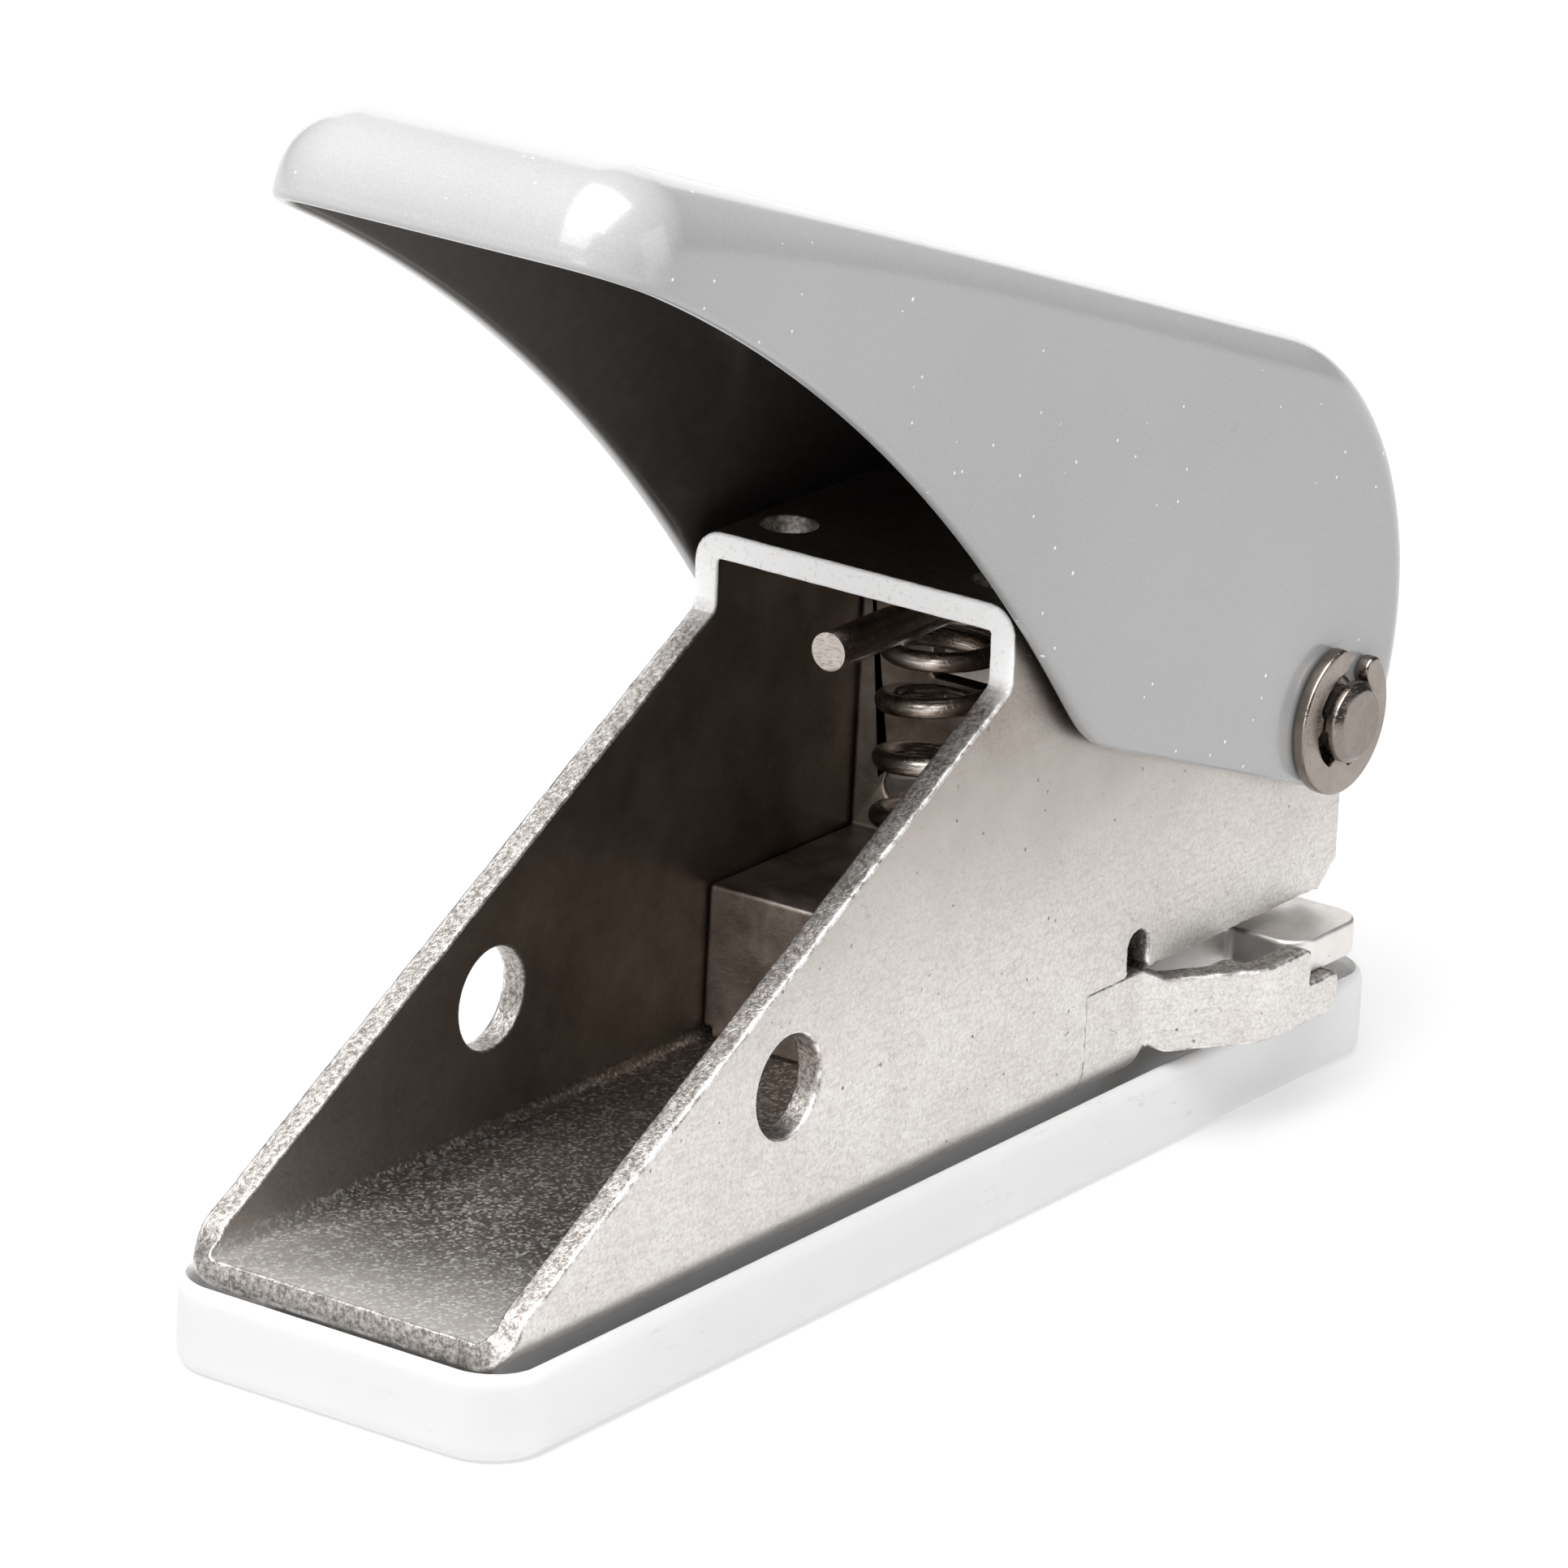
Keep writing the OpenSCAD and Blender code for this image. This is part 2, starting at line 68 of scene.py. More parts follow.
tray_hi = span("chip_tray")[1]
frame_lo, frame_hi = span("frame")
die_lo, die_hi = span("die_plate")
bracket_lo = span("spring_bracket")[0]
guide_lo = span("guide_bracket")[0]
pin_lo, pin_hi = span("hinge_pin")
clip_lo, clip_hi = span("e_clips")
washer_hi = span("hinge_washers")[1]
lever_hi = span("lever_shell")[1]
spring_lo, spring_hi = span("return_spring")
bush_lo, bush_hi = span("guide_bush")
punch_lo, punch_hi = span("punch_pin")
rivet_lo, rivet_hi = span("bracket_rivets")
post_lo, post_hi = span("die_rivets")
joints = {j["name"]: j for j in frame["joints"]}
lever_angle = joints["lever_hinge"]["range_deg"][1] * DEG

# the frame: its sheet, outer bend radii at the floor and the top plate, and half width
sheet = 2.0
bend_r = sheet + 0.8
crown_r = sheet + 0.2
half_w = washer_hi[1] - 0.5
hinge_x, hinge_z = (pin_lo[0] + pin_hi[0]) / 2, (pin_lo[2] + pin_hi[2]) / 2
hinge_r = (pin_hi[2] - pin_lo[2]) / 2
front_x, rear_x = frame_lo[0], frame_hi[0]
seat_z, frame_h = frame_lo[2], frame_hi[2]
foot_z, crown_z = seat_z + bend_r, frame_h - crown_r
bridge_x = bracket_lo[0] - 0.7
crown_rear_x = hinge_x - 5.5
ramp_top_z = frame_h - 5.85
slot_z = guide_lo[2] - 0.1
seam_x, ear_x, ear_out_x = hinge_x - 27, hinge_x - 19.3, hinge_x - 11.3
ear_y, ear_end_x, notch_x = frame_hi[1], hinge_x - 1.7, hinge_x - 5.5
ear_low_z, ear_top_z = seat_z + 1.6, slot_z - 1
punch_x, punch_r = (punch_lo[0] + punch_hi[0]) / 2, 3.0
side_hole = (bridge_x - 24.5, 17.6, 3.7)  # x, z and radius
bore_gap = 0.05
rivet_bore_r, rivet_head_r = 1.55, 2.6

# the lever, in its own frame with the hinge at 0, 0
lever_t = 1.5
lever_half = lever_hi[1]
lever_reach, lever_tail = 102.0, 8.9
lever_h, lip_h = 25.7, 7.6
skirt, skirt_reach, heel_cut = 5.3, 31.3, 3.4
tail_r, edge_r, nose_top_r, nose_r = 24.0, 146.0, 6.3, 6.0
tray_corner_r, frame_corner_r = 4.5, 1.6


TINY = 1e-12
MITER = 0.35  # limits how far a sharp corner's point moves
EDGE_STEP = 0.6  # between points along the frame's edge


# ---- mesh helpers
def unit(v):
    """Rows scaled to length 1."""
    return v / np.maximum(np.linalg.norm(v, axis=1, keepdims=True), TINY)


def piece(name, verts, faces, normals=None, attrs=None, smooth=40, flat_weight=True):
    """A new mesh object from points in mm.
    normals are per vertex, attrs are named per-vertex numbers, smooth is an angle in degrees."""
    mesh = bpy.data.meshes.new(name)
    mesh.from_pydata((np.asarray(verts, float) * MM).tolist(), [], [list(map(int, f)) for f in faces])
    mesh.validate()
    mesh.update()
    obj = bpy.data.objects.new(name, mesh)
    scene.collection.objects.link(obj)
    mesh.shade_smooth()
    for key, values in (attrs or {}).items():
        layer = mesh.attributes.new(key, "FLOAT", "POINT")
        layer.data.foreach_set("value", np.asarray(values, np.float32))
    if normals is not None:
        mesh.normals_split_custom_set_from_vertices(unit(np.asarray(normals, float)).tolist())
        return obj
    mesh.set_sharp_from_angle(angle=smooth * DEG)
    if flat_weight:
        weighted = obj.modifiers.new("flat faces", "WEIGHTED_NORMAL")
        weighted.keep_sharp = True
        weighted.weight = 90
    return obj


def rounded(corners, closed=True, step=8):
    """Points through corners (x, y, radius), each corner turned into an arc of step degrees a part."""
    straight = 1.56  # half a corner's angle from which it needs no arc
    share = 0.49  # of a side, for the arc at each of its ends
    out, n = [], len(corners)
    for i, (x, y, r) in enumerate(corners):
        if r <= 0 or (not closed and i in (0, n - 1)):
            out.append((x, y))
            continue
        p = np.array([x, y], float)
        a = np.array(corners[i - 1][:2], float) - p
        b = np.array(corners[(i + 1) % n][:2], float) - p
        la, lb = np.linalg.norm(a), np.linalg.norm(b)
        a, b = a / la, b / lb
        half = math.acos(float(np.clip(a @ b, -1, 1))) / 2
        if half > straight:
            out.append((x, y))
            continue
        reach = min(r / math.tan(half), share * la, share * lb)
        r = reach * math.tan(half)
        mid = (a + b) / np.linalg.norm(a + b)
        centre = p + mid * (r / math.sin(half))
        s, e = p + a * reach - centre, p + b * reach - centre
        a0 = math.atan2(s[1], s[0])
        turn = math.atan2(s[0] * e[1] - s[1] * e[0], s @ e)
        m = max(2, int(math.ceil(abs(turn) / (step * DEG))))
        for k in range(m + 1):
            t = a0 + turn * k / m
            out.append((centre[0] + r * math.cos(t), centre[1] + r * math.sin(t)))
    return np.array(out, float)


def dense(points, step, closed=False):
    """The same line with no segment longer than step."""
    pts = [np.array(p, float) for p in points]
    if closed:
        pts.append(pts[0])
    out = [pts[0]]
    for a, b in zip(pts, pts[1:]):
        length = np.linalg.norm(b - a)
        if length < 1e-6:
            continue
        m = max(1, int(math.ceil(length / step)))
        out += [a + (b - a) * k / m for k in range(1, m + 1)]
    if closed:
        out.pop()
    return np.array(out)


def inset(points, by, closed, square=None):
    """A line moved to its left by a distance, or by one distance for each point.
    square is the axis that an open line's ends slide along."""
    p = np.asarray(points, float)
    by = np.broadcast_to(np.asarray(by, float), len(p))
    before = p - np.roll(p, 1, 0)
    after = np.roll(p, -1, 0) - p
    if not closed:
        before[0], after[-1] = after[0], before[-1]
    n1 = unit(np.stack([-before[:, 1], before[:, 0]], 1))
    n2 = unit(np.stack([-after[:, 1], after[:, 0]], 1))
    miter = (n1 + n2) / np.maximum(1 + (n1 * n2).sum(1), MITER)[:, None]
    if not closed and square is not None:
        for k in (0, -1):
            miter[k] = np.copysign([square == "x", square == "y"], miter[k])
    return p + miter * by[:, None]


def circle(x, y, r, n, a0=0.0, a1=360.0):
    """An arc from a0 to a1 degrees in n parts; a whole circle is closed and runs clockwise."""
    t = np.linspace(a0, a1, n + 1) * DEG
    if abs(a1 - a0) >= 360:
        t = t[:n][::-1]
    return np.stack([x + r * np.cos(t), y + r * np.sin(t)], 1)


def ranges(lines):
    """The indices of each line's points, when the lines are numbered one after another."""
    ends = np.cumsum([0] + [len(line) for line in lines])
    return [np.arange(a, b) for a, b in zip(ends, ends[1:])]


def bands(rows, n, start=0, flip=False):
    """Quads between closed rows of n points, numbered from start."""
    out = []
    for i in range(rows - 1):
        low, high = start + i * n, start + (i + 1) * n
        for k in range(n):
            a, b = k, (k + 1) % n
            if flip:
                a, b = b, a
            out.append((low + a, low + b, high + b, high + a))
    return out


def inside(points, loops):
    """Which points lie inside an odd number of the loops."""
    p = np.asarray(points, float)
    hit = np.zeros(len(p), bool)
    for loop in loops:
        a, b = np.asarray(loop), np.roll(loop, -1, 0)
        for (x0, y0), (x1, y1) in zip(a, b):
            if y0 == y1:
                continue
            cross = ((y0 > p[:, 1]) != (y1 > p[:, 1])) & (
                p[:, 0] < (x1 - x0) * (p[:, 1] - y0) / (y1 - y0) + x0)
            hit ^= cross
    return hit


def fill(loops, extra, clear=0.4):
    """Triangles of the area between closed loops, through the extra points that keep clear of the loops.
    The indices run over all loops and then the extra points kept."""
    edge = np.concatenate(loops)
    extra = np.asarray(extra, float).reshape(-1, 2)
    if len(extra):
        tree = kdtree.KDTree(len(edge))
        for i, (x, y) in enumerate(edge):
            tree.insert((x, y, 0), i)
        tree.balance()
        near = np.array([tree.find((x, y, 0))[2] for x, y in extra])
        extra = extra[(near > clear) & inside(extra, loops)]
    points = np.concatenate([edge, extra])
    segments = [pair for ids in ranges(loops) for pair in zip(ids.tolist(), np.roll(ids, -1).tolist())]
    got = delaunay_2d_cdt([Vector(p) for p in points], segments, [], 0, 1e-7, True)
    if len(got[0]) != len(points):
        raise ValueError("loops cross or touch")
    source = [ids[0] for ids in got[3]]
    tris = np.array([[source[i] for i in f] for f in got[2] if len(f) == 3])
    tris = tris[inside(points[tris].mean(1), loops)]
    a, b, c = points[tris[:, 0]], points[tris[:, 1]], points[tris[:, 2]]
    area = (b[:, 0] - a[:, 0]) * (c[:, 1] - a[:, 1]) - (b[:, 1] - a[:, 1]) * (c[:, 0] - a[:, 0])
    solid = np.abs(area) > 1e-9
    tris, area = tris[solid], area[solid]
    tris[area < 0] = tris[area < 0][:, ::-1]
    return extra, tris


def shell(P, N, faces, chains, thick, rim, mirror=True, scale=None):
    """A sheet's outer side made into a closed sheet: an inner side, and a rim along each chain
    (indices, closed). The sheet is on a chain's left seen from outside. rim holds (outward, depth)
    steps, and scale multiplies outward at each point. With mirror, the sheet is one half that ends
    on Y = 0, and the other half is added."""
    P, N = np.asarray(P, float), np.asarray(N, float)
    count = len(P)
    scale = np.ones(count) if scale is None else scale
    verts, norms = [P, P - thick * N], [N, -N]
    # cut is 1 on the sheared rim, inner is the depth through the sheet
    cut, inner = [np.zeros(2 * count)], [np.concatenate([np.zeros(count), np.ones(count)])]
    out = [tuple(f) for f in faces] + [tuple(i + count for i in reversed(tuple(f))) for f in faces]
    total = 2 * count
    steps = [(0.0, 0.0)] + list(rim) + [(0.0, thick)]
    for ids, closed in chains:
        ids = np.asarray(ids)
        p, n = P[ids], N[ids]
        c1 = p - np.roll(p, 1, 0)
        c2 = np.roll(p, -1, 0) - p
        if not closed:
            c1[0], c2[-1] = c2[0], c1[-1]
            if mirror:
                c1[0] = c2[0] = [0, math.copysign(1, c2[0][1]), 0]
                c1[-1] = c2[-1] = [0, math.copysign(1, c1[-1][1]), 0]
        m1, m2 = unit(np.cross(c1, n)), unit(np.cross(c2, n))
        m = (m1 + m2) / np.maximum(1 + (m1 * m2).sum(1), MITER)[:, None]
        outward, k = unit(m), scale[ids][:, None]
        rows = [ids]
        for (a0, d0), (a, d), (a1, d1) in zip(steps, steps[1:], steps[2:]):
            verts.append(p + m * a * k - n * d)
            norms.append(outward * (d1 - d0) + n * (a1 - a0))
            cut.append(np.full(len(ids), 1.0))
            inner.append(np.full(len(ids), d / thick))
            rows.append(np.arange(total, total + len(ids)))
            total += len(ids)
        rows.append(ids + count)
        n_seg = len(ids) if closed else len(ids) - 1
        for upper, lower in zip(rows, rows[1:]):
            for i in range(n_seg):
                j = (i + 1) % len(ids)
                out.append((upper[i], lower[i], lower[j], upper[j]))
    verts, norms, cut, inner = (np.concatenate(v) for v in (verts, norms, cut, inner))
    if mirror:
        on = np.abs(verts[:, 1]) < 1e-6
        verts[on, 1] = 0
        norms[on, 1] = 0
        other = np.arange(total)
        other[~on] = total + np.arange((~on).sum())
        flip = np.array([1, -1, 1])
        verts = np.concatenate([verts, verts[~on] * flip])
        norms = np.concatenate([norms, norms[~on] * flip])
        cut = np.concatenate([cut, cut[~on]])
        inner = np.concatenate([inner, inner[~on]])
        out += [tuple(other[i] for i in reversed(f)) for f in out]
    return verts, norms, out, {"cut": cut, "inner": inner}


def plate(outline, holes, place, thick, rim, edge_in):
    """A flat plate. outline runs counterclockwise and holes clockwise in its own plane, and
    place(points) gives the points and the outward normal."""
    loops = [inset(line, edge_in, True) for line in (outline, *holes)]
    extra, tris = fill(loops, [])
    P, normal = place(np.concatenate(loops + [extra]))
    N = np.tile(np.asarray(normal, float), (len(P), 1))
    return shell(P, N, tris, [(ids, True) for ids in ranges(loops)], thick, rim, mirror=False)


def lathe(profile, place, sides):
    """Rings from profile (radius, along), closed at both ends. place(x, y, along) gives the point."""
    turns = [2 * math.pi * k / sides for k in range(sides)]
    verts = [place(r * math.cos(a), r * math.sin(a), h) for r, h in profile for a in turns]
    last = (len(profile) - 1) * sides
    ends = [tuple(range(sides))[::-1], tuple(range(last, last + sides))]
    return verts, bands(len(profile), sides) + ends


# ---- folded frame
S1 = half_w - bend_r  # flat width of the floor, from its middle
S2 = S1 + bend_r * math.pi / 2
S3 = S2 + crown_z - foot_z
S4 = S3 + crown_r * math.pi / 2
S5 = S4 + half_w - crown_r  # middle of the top plate


def at_z(z):
    """Place of a height on the side wall along the unfolded sheet."""
    return S2 + z - foot_z


EAR_LEAD = 3.0  # flat stretch before the ear's bend


def ear_path():
    """Plan of the ear's outer face, from just before its bend, as points by length along it."""
    line = rounded([(ear_x - EAR_LEAD, half_w, 0), (ear_x, half_w, 3.2), (ear_out_x, ear_y, 5.0),
                    (ear_end_x, ear_y, 0)], False, 4)
    line = dense(line, 0.12)
    parts = np.linalg.norm(np.diff(line, axis=0), axis=1)
    return np.concatenate([[0], np.cumsum(parts)]) + ear_x - EAR_LEAD, line


ear_run, ear_line = ear_path()
ear_last = ear_run[-1]
ear_notch = float(np.interp(notch_x, ear_line[:, 0], ear_run))


def ear_at(u):
    """Plan points of the ear's outer face at lengths along it."""
    return np.stack([np.interp(u, ear_run, ear_line[:, k]) for k in (0, 1)])


def fold(flat):
    """Flat points (x, s) of the half sheet to points and outward normals.
    s runs from the floor's middle, up the side wall, to the top plate's middle."""
    x, s = flat[:, 0], flat[:, 1]
    P, N = np.zeros((len(x), 3)), np.zeros((len(x), 3))
    P[:, 0] = x
    f = s <= S1
    P[f, 1], P[f, 2], N[f, 2] = s[f], seat_z, -1
    f = (s > S1) & (s < S2)
    a = (s[f] - S1) / bend_r
    P[f, 1], P[f, 2] = S1 + bend_r * np.sin(a), foot_z - bend_r * np.cos(a)
    N[f, 1], N[f, 2] = np.sin(a), -np.cos(a)
    f = (s >= S2) & (s <= S3)
    P[f, 1], P[f, 2], N[f, 1] = half_w, foot_z + s[f] - S2, 1
    f = (s > S3) & (s < S4)
    a = (s[f] - S3) / crown_r
    P[f, 1], P[f, 2] = half_w - crown_r + crown_r * np.cos(a), crown_z + crown_r * np.sin(a)
    N[f, 1], N[f, 2] = np.cos(a), np.sin(a)
    f = s >= S4
    P[f, 1], P[f, 2], N[f, 2] = S5 - s[f], frame_h, 1
    # the ear, bent outwards
    below_slot = s < at_z(slot_z - 0.05)
    f = (x > ear_x - 2.9) & below_slot & ((s > S2) | ((x > ear_x + 0.02) & (s > S1 + 1)))
    if f.any():
        u, e = x[f], 0.15
        tx, ty = ear_at(np.minimum(u + e, ear_last)) - ear_at(u - e)
        t = np.hypot(tx, ty)
        P[f, 0], P[f, 1] = ear_at(u)
        P[f, 2] = foot_z + s[f] - S2
        N[f, 0], N[f, 1], N[f, 2] = -ty / t, tx / t, 0
    P[:, 1] *= -1
    N[:, 1] *= -1
    return P, N


def corner_x(s):
    """Front edge of the sheet round its plan corner."""
    y = s if s < S1 else S1 + bend_r * math.sin(min((s - S1) / bend_r, math.pi / 2))
    r = frame_corner_r
    d = max(0.0, y - (half_w - r))
    return front_x + r - math.sqrt(max(r * r - d * d, 0.0))


def frame_mesh():
    seam, relief_w, relief_h = 0.07, 2.6, 3.2
    edge, thin_edge = 0.34, 0.14  # the rim's width, and its share along the thin tear
    tear, slot, low, top = at_z(slot_z - 0.1), at_z(slot_z), at_z(ear_low_z), at_z(ear_top_z)
    relief, tab = at_z(slot_z + relief_h), at_z(die_lo[2])
    # the back: from the floor's middle round the ear, the tear, the slot and the crown
    a_line = dense(rounded([
        (rear_x - 0.5, 0, 0), (rear_x - 0.5, S1, 1.0), (ear_x, S1, 0.5), (ear_x, at_z(8.25), 0.35),
        (ear_x + 1.6, low, 1.5), (ear_last, low, 2.0), (ear_last, tab, 0.6), (ear_notch, tab, 0.12),
        (ear_notch, top, 0.7), (ear_x + 1.4, top, 1.5), (ear_x - 0.4, tear, 0.6),
        (seam_x + seam, tear, 0.06), (seam_x + seam, S1 + 0.3, 0.05),
        (seam_x - seam, S1 + 0.3, 0.05), (seam_x - seam, slot, 0.05),
        (ear_x - relief_w, slot, 0.5), (ear_x - relief_w, relief, 1.25), (ear_x, relief, 1.25),
        (ear_x, slot, 0.7), (rear_x - 2.1, slot, 0.6), (rear_x, at_z(slot_z + 1.85), 0.8),
        (rear_x, at_z(hinge_z + 4.5), 1.2), (crown_rear_x + 0.3, at_z(crown_z), 1.2),
        (crown_rear_x, S4, 0.5), (crown_rear_x, S5, 0)], False), EDGE_STEP)
    bush_r = (bush_hi[0] - bush_lo[0]) / 2 - 1.25
    b_line = circle(punch_x, S5, bush_r, 24, a0=0, a1=-180)
    # the front: down the bridge edge, along the ramp, and round the plan corner
    toe_x = corner_x(S2) + 0.35
    ramp_slope = (ramp_top_z - foot_z) / (bridge_x - front_x - 0.6)
    foot = np.linspace(at_z(foot_z + 0.5), half_w - frame_corner_r, 22)
    c_line = dense(rounded([
        (bridge_x, S5, 0), (bridge_x, at_z(ramp_top_z), 0.7),
        (toe_x, at_z(foot_z + ramp_slope * (toe_x - front_x - 0.6)), 1.6),
        *[(corner_x(s), s, 0.0) for s in foot if s < S2 - 0.3],
        (front_x, 10.0, 0.7), (front_x + 0.12, 9.5, 0.3), (front_x, 9.0, 0.8),
        (front_x, 0, 0)], False), EDGE_STEP)
    d_line = circle(punch_x, 0, 4.0, 24, a0=180, a1=0)

    insets, scales = [], []
    for line in (a_line, b_line, c_line, d_line):
        x, s, t = line[:, 0], line[:, 1], np.arange(len(line))
        at_seam = (np.abs(x - seam_x) < 0.6) & (s < at_z(slot_z + 0.3)) & (s > S1)
        at_tear = (x > seam_x - 0.6) & (x < ear_x - 0.4) & (np.abs(s - slot) < 0.35)
        k = np.where(at_seam | at_tear, thin_edge, 1.0)
        # hand-sheared edges wander by a few hundredths
        w = 0.035 * np.sin(t * 0.71) * np.sin(t * 0.233 + 1.3) + 0.02 * np.sin(t * 1.93)
        w[:3] = w[-3:] = 0
        moved = inset(line, edge * k + w * (k > 0.5), False, "x")
        moved[0, 1], moved[-1, 1] = line[0, 1], line[-1, 1]
        insets.append(moved)
        scales.append(k)
    holes = [circle(*side_hole, 56), circle(hinge_x, hinge_z, hinge_r + bore_gap, 44)]
    holes = [np.stack([h[:, 0], at_z(h[:, 1])], 1) for h in holes]
    holes.append(circle(bridge_x + 5, S5 - half_w + 4.5, 2.0, 36))
    for lo, hi in ((rivet_lo, rivet_hi), (post_lo, post_hi)):
        holes.append(circle((lo[0] + hi[0]) / 2, hi[1] - rivet_head_r, rivet_bore_r, 24))
    hole_scales = [0.8, 0.8, 0.7, 0.3, 0.3]
    hole_in = [inset(h, edge * k, True) for h, k in zip(holes, hole_scales)]
    rows = [*np.arange(0.9, S1 - 0.3, 1.8), *np.linspace(S1, S2, 11), *np.arange(S2 + 1.0, S3 - 0.6, 1.6),
            *np.linspace(S3, S4, 9), *np.arange(S4 + 1.5, S5 - 0.8, 1.8)]
    grid = [(x, s) for s in rows
            for x in np.arange(front_x + 0.5, rear_x, 1.25 if s > slot or s < S1 else 0.7)]
    loops = [np.concatenate(insets)] + hole_in
    extra, tris = fill(loops, grid)
    P, N = fold(np.concatenate(loops + [extra]))
    ids = ranges(insets + hole_in)
    chains = [(one, i >= len(insets)) for i, one in enumerate(ids)]
    scale = np.ones(len(P))
    for one, k in zip(ids, scales + hole_scales):
        scale[one] = k
    rim = [(0.19, 0.05), (0.3, 0.15), (edge, 0.32), (edge, 0.9), (edge, 1.45), (edge, 1.82),
           (0.85 * edge, 1.93), (0.5 * edge, 1.985)]
    verts, norms, faces, attrs = shell(P, N, tris, chains, sheet, rim, True, scale)
    return piece("folded_frame", verts, faces, norms, attrs)


# ---- lever shell
def lever_to_row(p):
    """Points and vectors from the lever's own frame to the row frame."""
    c, s = math.cos(lever_angle), math.sin(lever_angle)
    return np.stack([p[:, 0] * c + p[:, 2] * s, p[:, 1], -p[:, 0] * s + p[:, 2] * c], 1)


def lever_edge(x):
    """Height of the side wall's lower edge at x along the lever: level skirt, then a wide arc."""
    a, b = np.array([-skirt_reach, -skirt]), np.array([-lever_reach, lever_h - lip_h])
    chord = np.linalg.norm(b - a)
    d = (b - a) / chord
    m = (a + b) / 2 + math.sqrt(edge_r ** 2 - chord ** 2 / 4) * np.array([-abs(d[1]), -abs(d[0])])
    c = m[1] + np.sqrt(np.maximum(edge_r ** 2 - (x - m[0]) ** 2, 0))
    w = 0.7  # how softly the skirt runs into the arc
    return -skirt + w * np.logaddexp(0, (c + skirt) / w)


def lever_mesh():
    rim_in, side_r, taper, lip_rows = 0.9, 3.1, 45, 7
    arc_x, arc_v = lever_tail - tail_r, lever_h - tail_r
    # the profile path: (x, v, normal x, normal v, side radius, share of the lip's height)
    path = [(-lever_reach, None, -1, 0, nose_r, i / lip_rows) for i in range(lip_rows)]
    for a in np.linspace(0, 90, 13):
        c, s = math.cos(a * DEG), math.sin(a * DEG)
        x, v = -lever_reach + nose_top_r - nose_top_r * c, lever_h - nose_top_r + nose_top_r * s
        path.append((x, v, -c, s, nose_r, 1))
    for x in np.linspace(-lever_reach + nose_top_r, arc_x, 46)[1:]:
        k = max(0.0, 1 - (x + lever_reach - nose_top_r) / taper)
        path.append((x, lever_h, 0, 1, side_r + (nose_r - side_r) * k * k, 1))
    for a in np.linspace(0, 90, 31)[1:]:
        c, s = math.cos(a * DEG), math.sin(a * DEG)
        path.append((arc_x + tail_r * s, arc_v + tail_r * c, s, c, side_r, 1))
    for f in (0.35, 0.7, 1.0):
        path.append((lever_tail, arc_v + (-heel_cut + rim_in - arc_v) * f, 1, 0, side_r, 1))
    flat_cols, round_cols = 7, 12
    P, N, ids = [], [], []
    for x, v, nx, nv, r, f in path:
        row = []
        for j in range(flat_cols + round_cols):
            if j < flat_cols:
                y, ny, on = -(lever_half - r) * j / flat_cols, 0.0, 1.0
                dx, dv = 0.0, 0.0
            else:
                a = 90 * DEG * (1 - (j - flat_cols) / (round_cols - 1))
                y = -(lever_half - r) - r * math.cos(a)
                ny, on = -math.cos(a), math.sin(a)
                dx, dv = -nx * r * (1 - on), -nv * r * (1 - on)
            px = x + dx
            if v is None:
                low = float(lever_edge(px)) + rim_in
                pv = low + (lever_h - nose_top_r - low) * f
            else:
                pv = v + dv
            row.append(len(P))
            P.append((px, y, pv))
            N.append((nx * on, ny, nv * on))
        ids.append(row)
    faces = [(a[j], a[j + 1], b[j + 1], b[j]) for a, b in zip(ids, ids[1:]) for j in range(len(a) - 1)]
    seam_ids = [row[-1] for row in ids]
    # the side wall, from that seam down to the lower edge
    x0, x1 = P[seam_ids[0]][0], P[seam_ids[-1]][0]
    xs = [*np.linspace(x0, -45, 72), *np.linspace(-45, -24, 46)[1:], *np.linspace(-24, 0.0, 30)[1:]]
    heel = [(0.5, -skirt, 0), (3.7, -skirt, 2.6), (5.4, -heel_cut, 1.6), (x1 + 1, -heel_cut, 0)]
    edge = [(x, float(lever_edge(x))) for x in xs] + list(rounded(heel, False))
    low = inset(dense(edge, 1.2), rim_in, False, "y")
    low = low[(low[:, 0] > x0 + 0.6) & (low[:, 0] < x1 - 0.2)]
    seam = np.array([(P[i][0], P[i][2]) for i in seam_ids])
    hole = inset(circle(0, 0, hinge_r + bore_gap, 44), 0.27, True)
    gx, gv = np.meshgrid(np.arange(-96, 8, 2.4), np.arange(-4, 24, 2.4))
    extra, tris = fill([np.concatenate([low, seam[::-1]]), hole], np.stack([gx.ravel(), gv.ravel()], 1))
    start = len(P)
    side = np.concatenate([low, hole, extra])
    P += [(x, -lever_half, v) for x, v in side]
    N += [(0, -1, 0)] * len(side)
    low_ids = list(range(start, start + len(low)))
    hole_ids = list(range(start + len(low), start + len(low) + len(hole)))
    index = low_ids + seam_ids[::-1] + list(range(start + len(low), start + len(side)))
    faces += [tuple(index[i] for i in t) for t in tris]
    chain = ids[0] + low_ids + ids[-1][::-1]
    scale = np.ones(len(P))
    scale[hole_ids] = 0.3
    rim = [(0.33, 0.03), (0.57, 0.1), (0.75, 0.24), (0.86, 0.44), (0.9, 0.68), (0.88, 1.0), (0.8, 1.25),
           (0.65, 1.41), (0.4, 1.49)]
    chains = [(chain, False), (hole_ids, True)]
    verts, norms, faces, attrs = shell(P, N, faces, chains, lever_t, rim, True, scale)
    verts = lever_to_row(verts) + np.array([hinge_x, 0, hinge_z])
    return piece("pressed_lever", verts, faces, lever_to_row(norms), attrs)


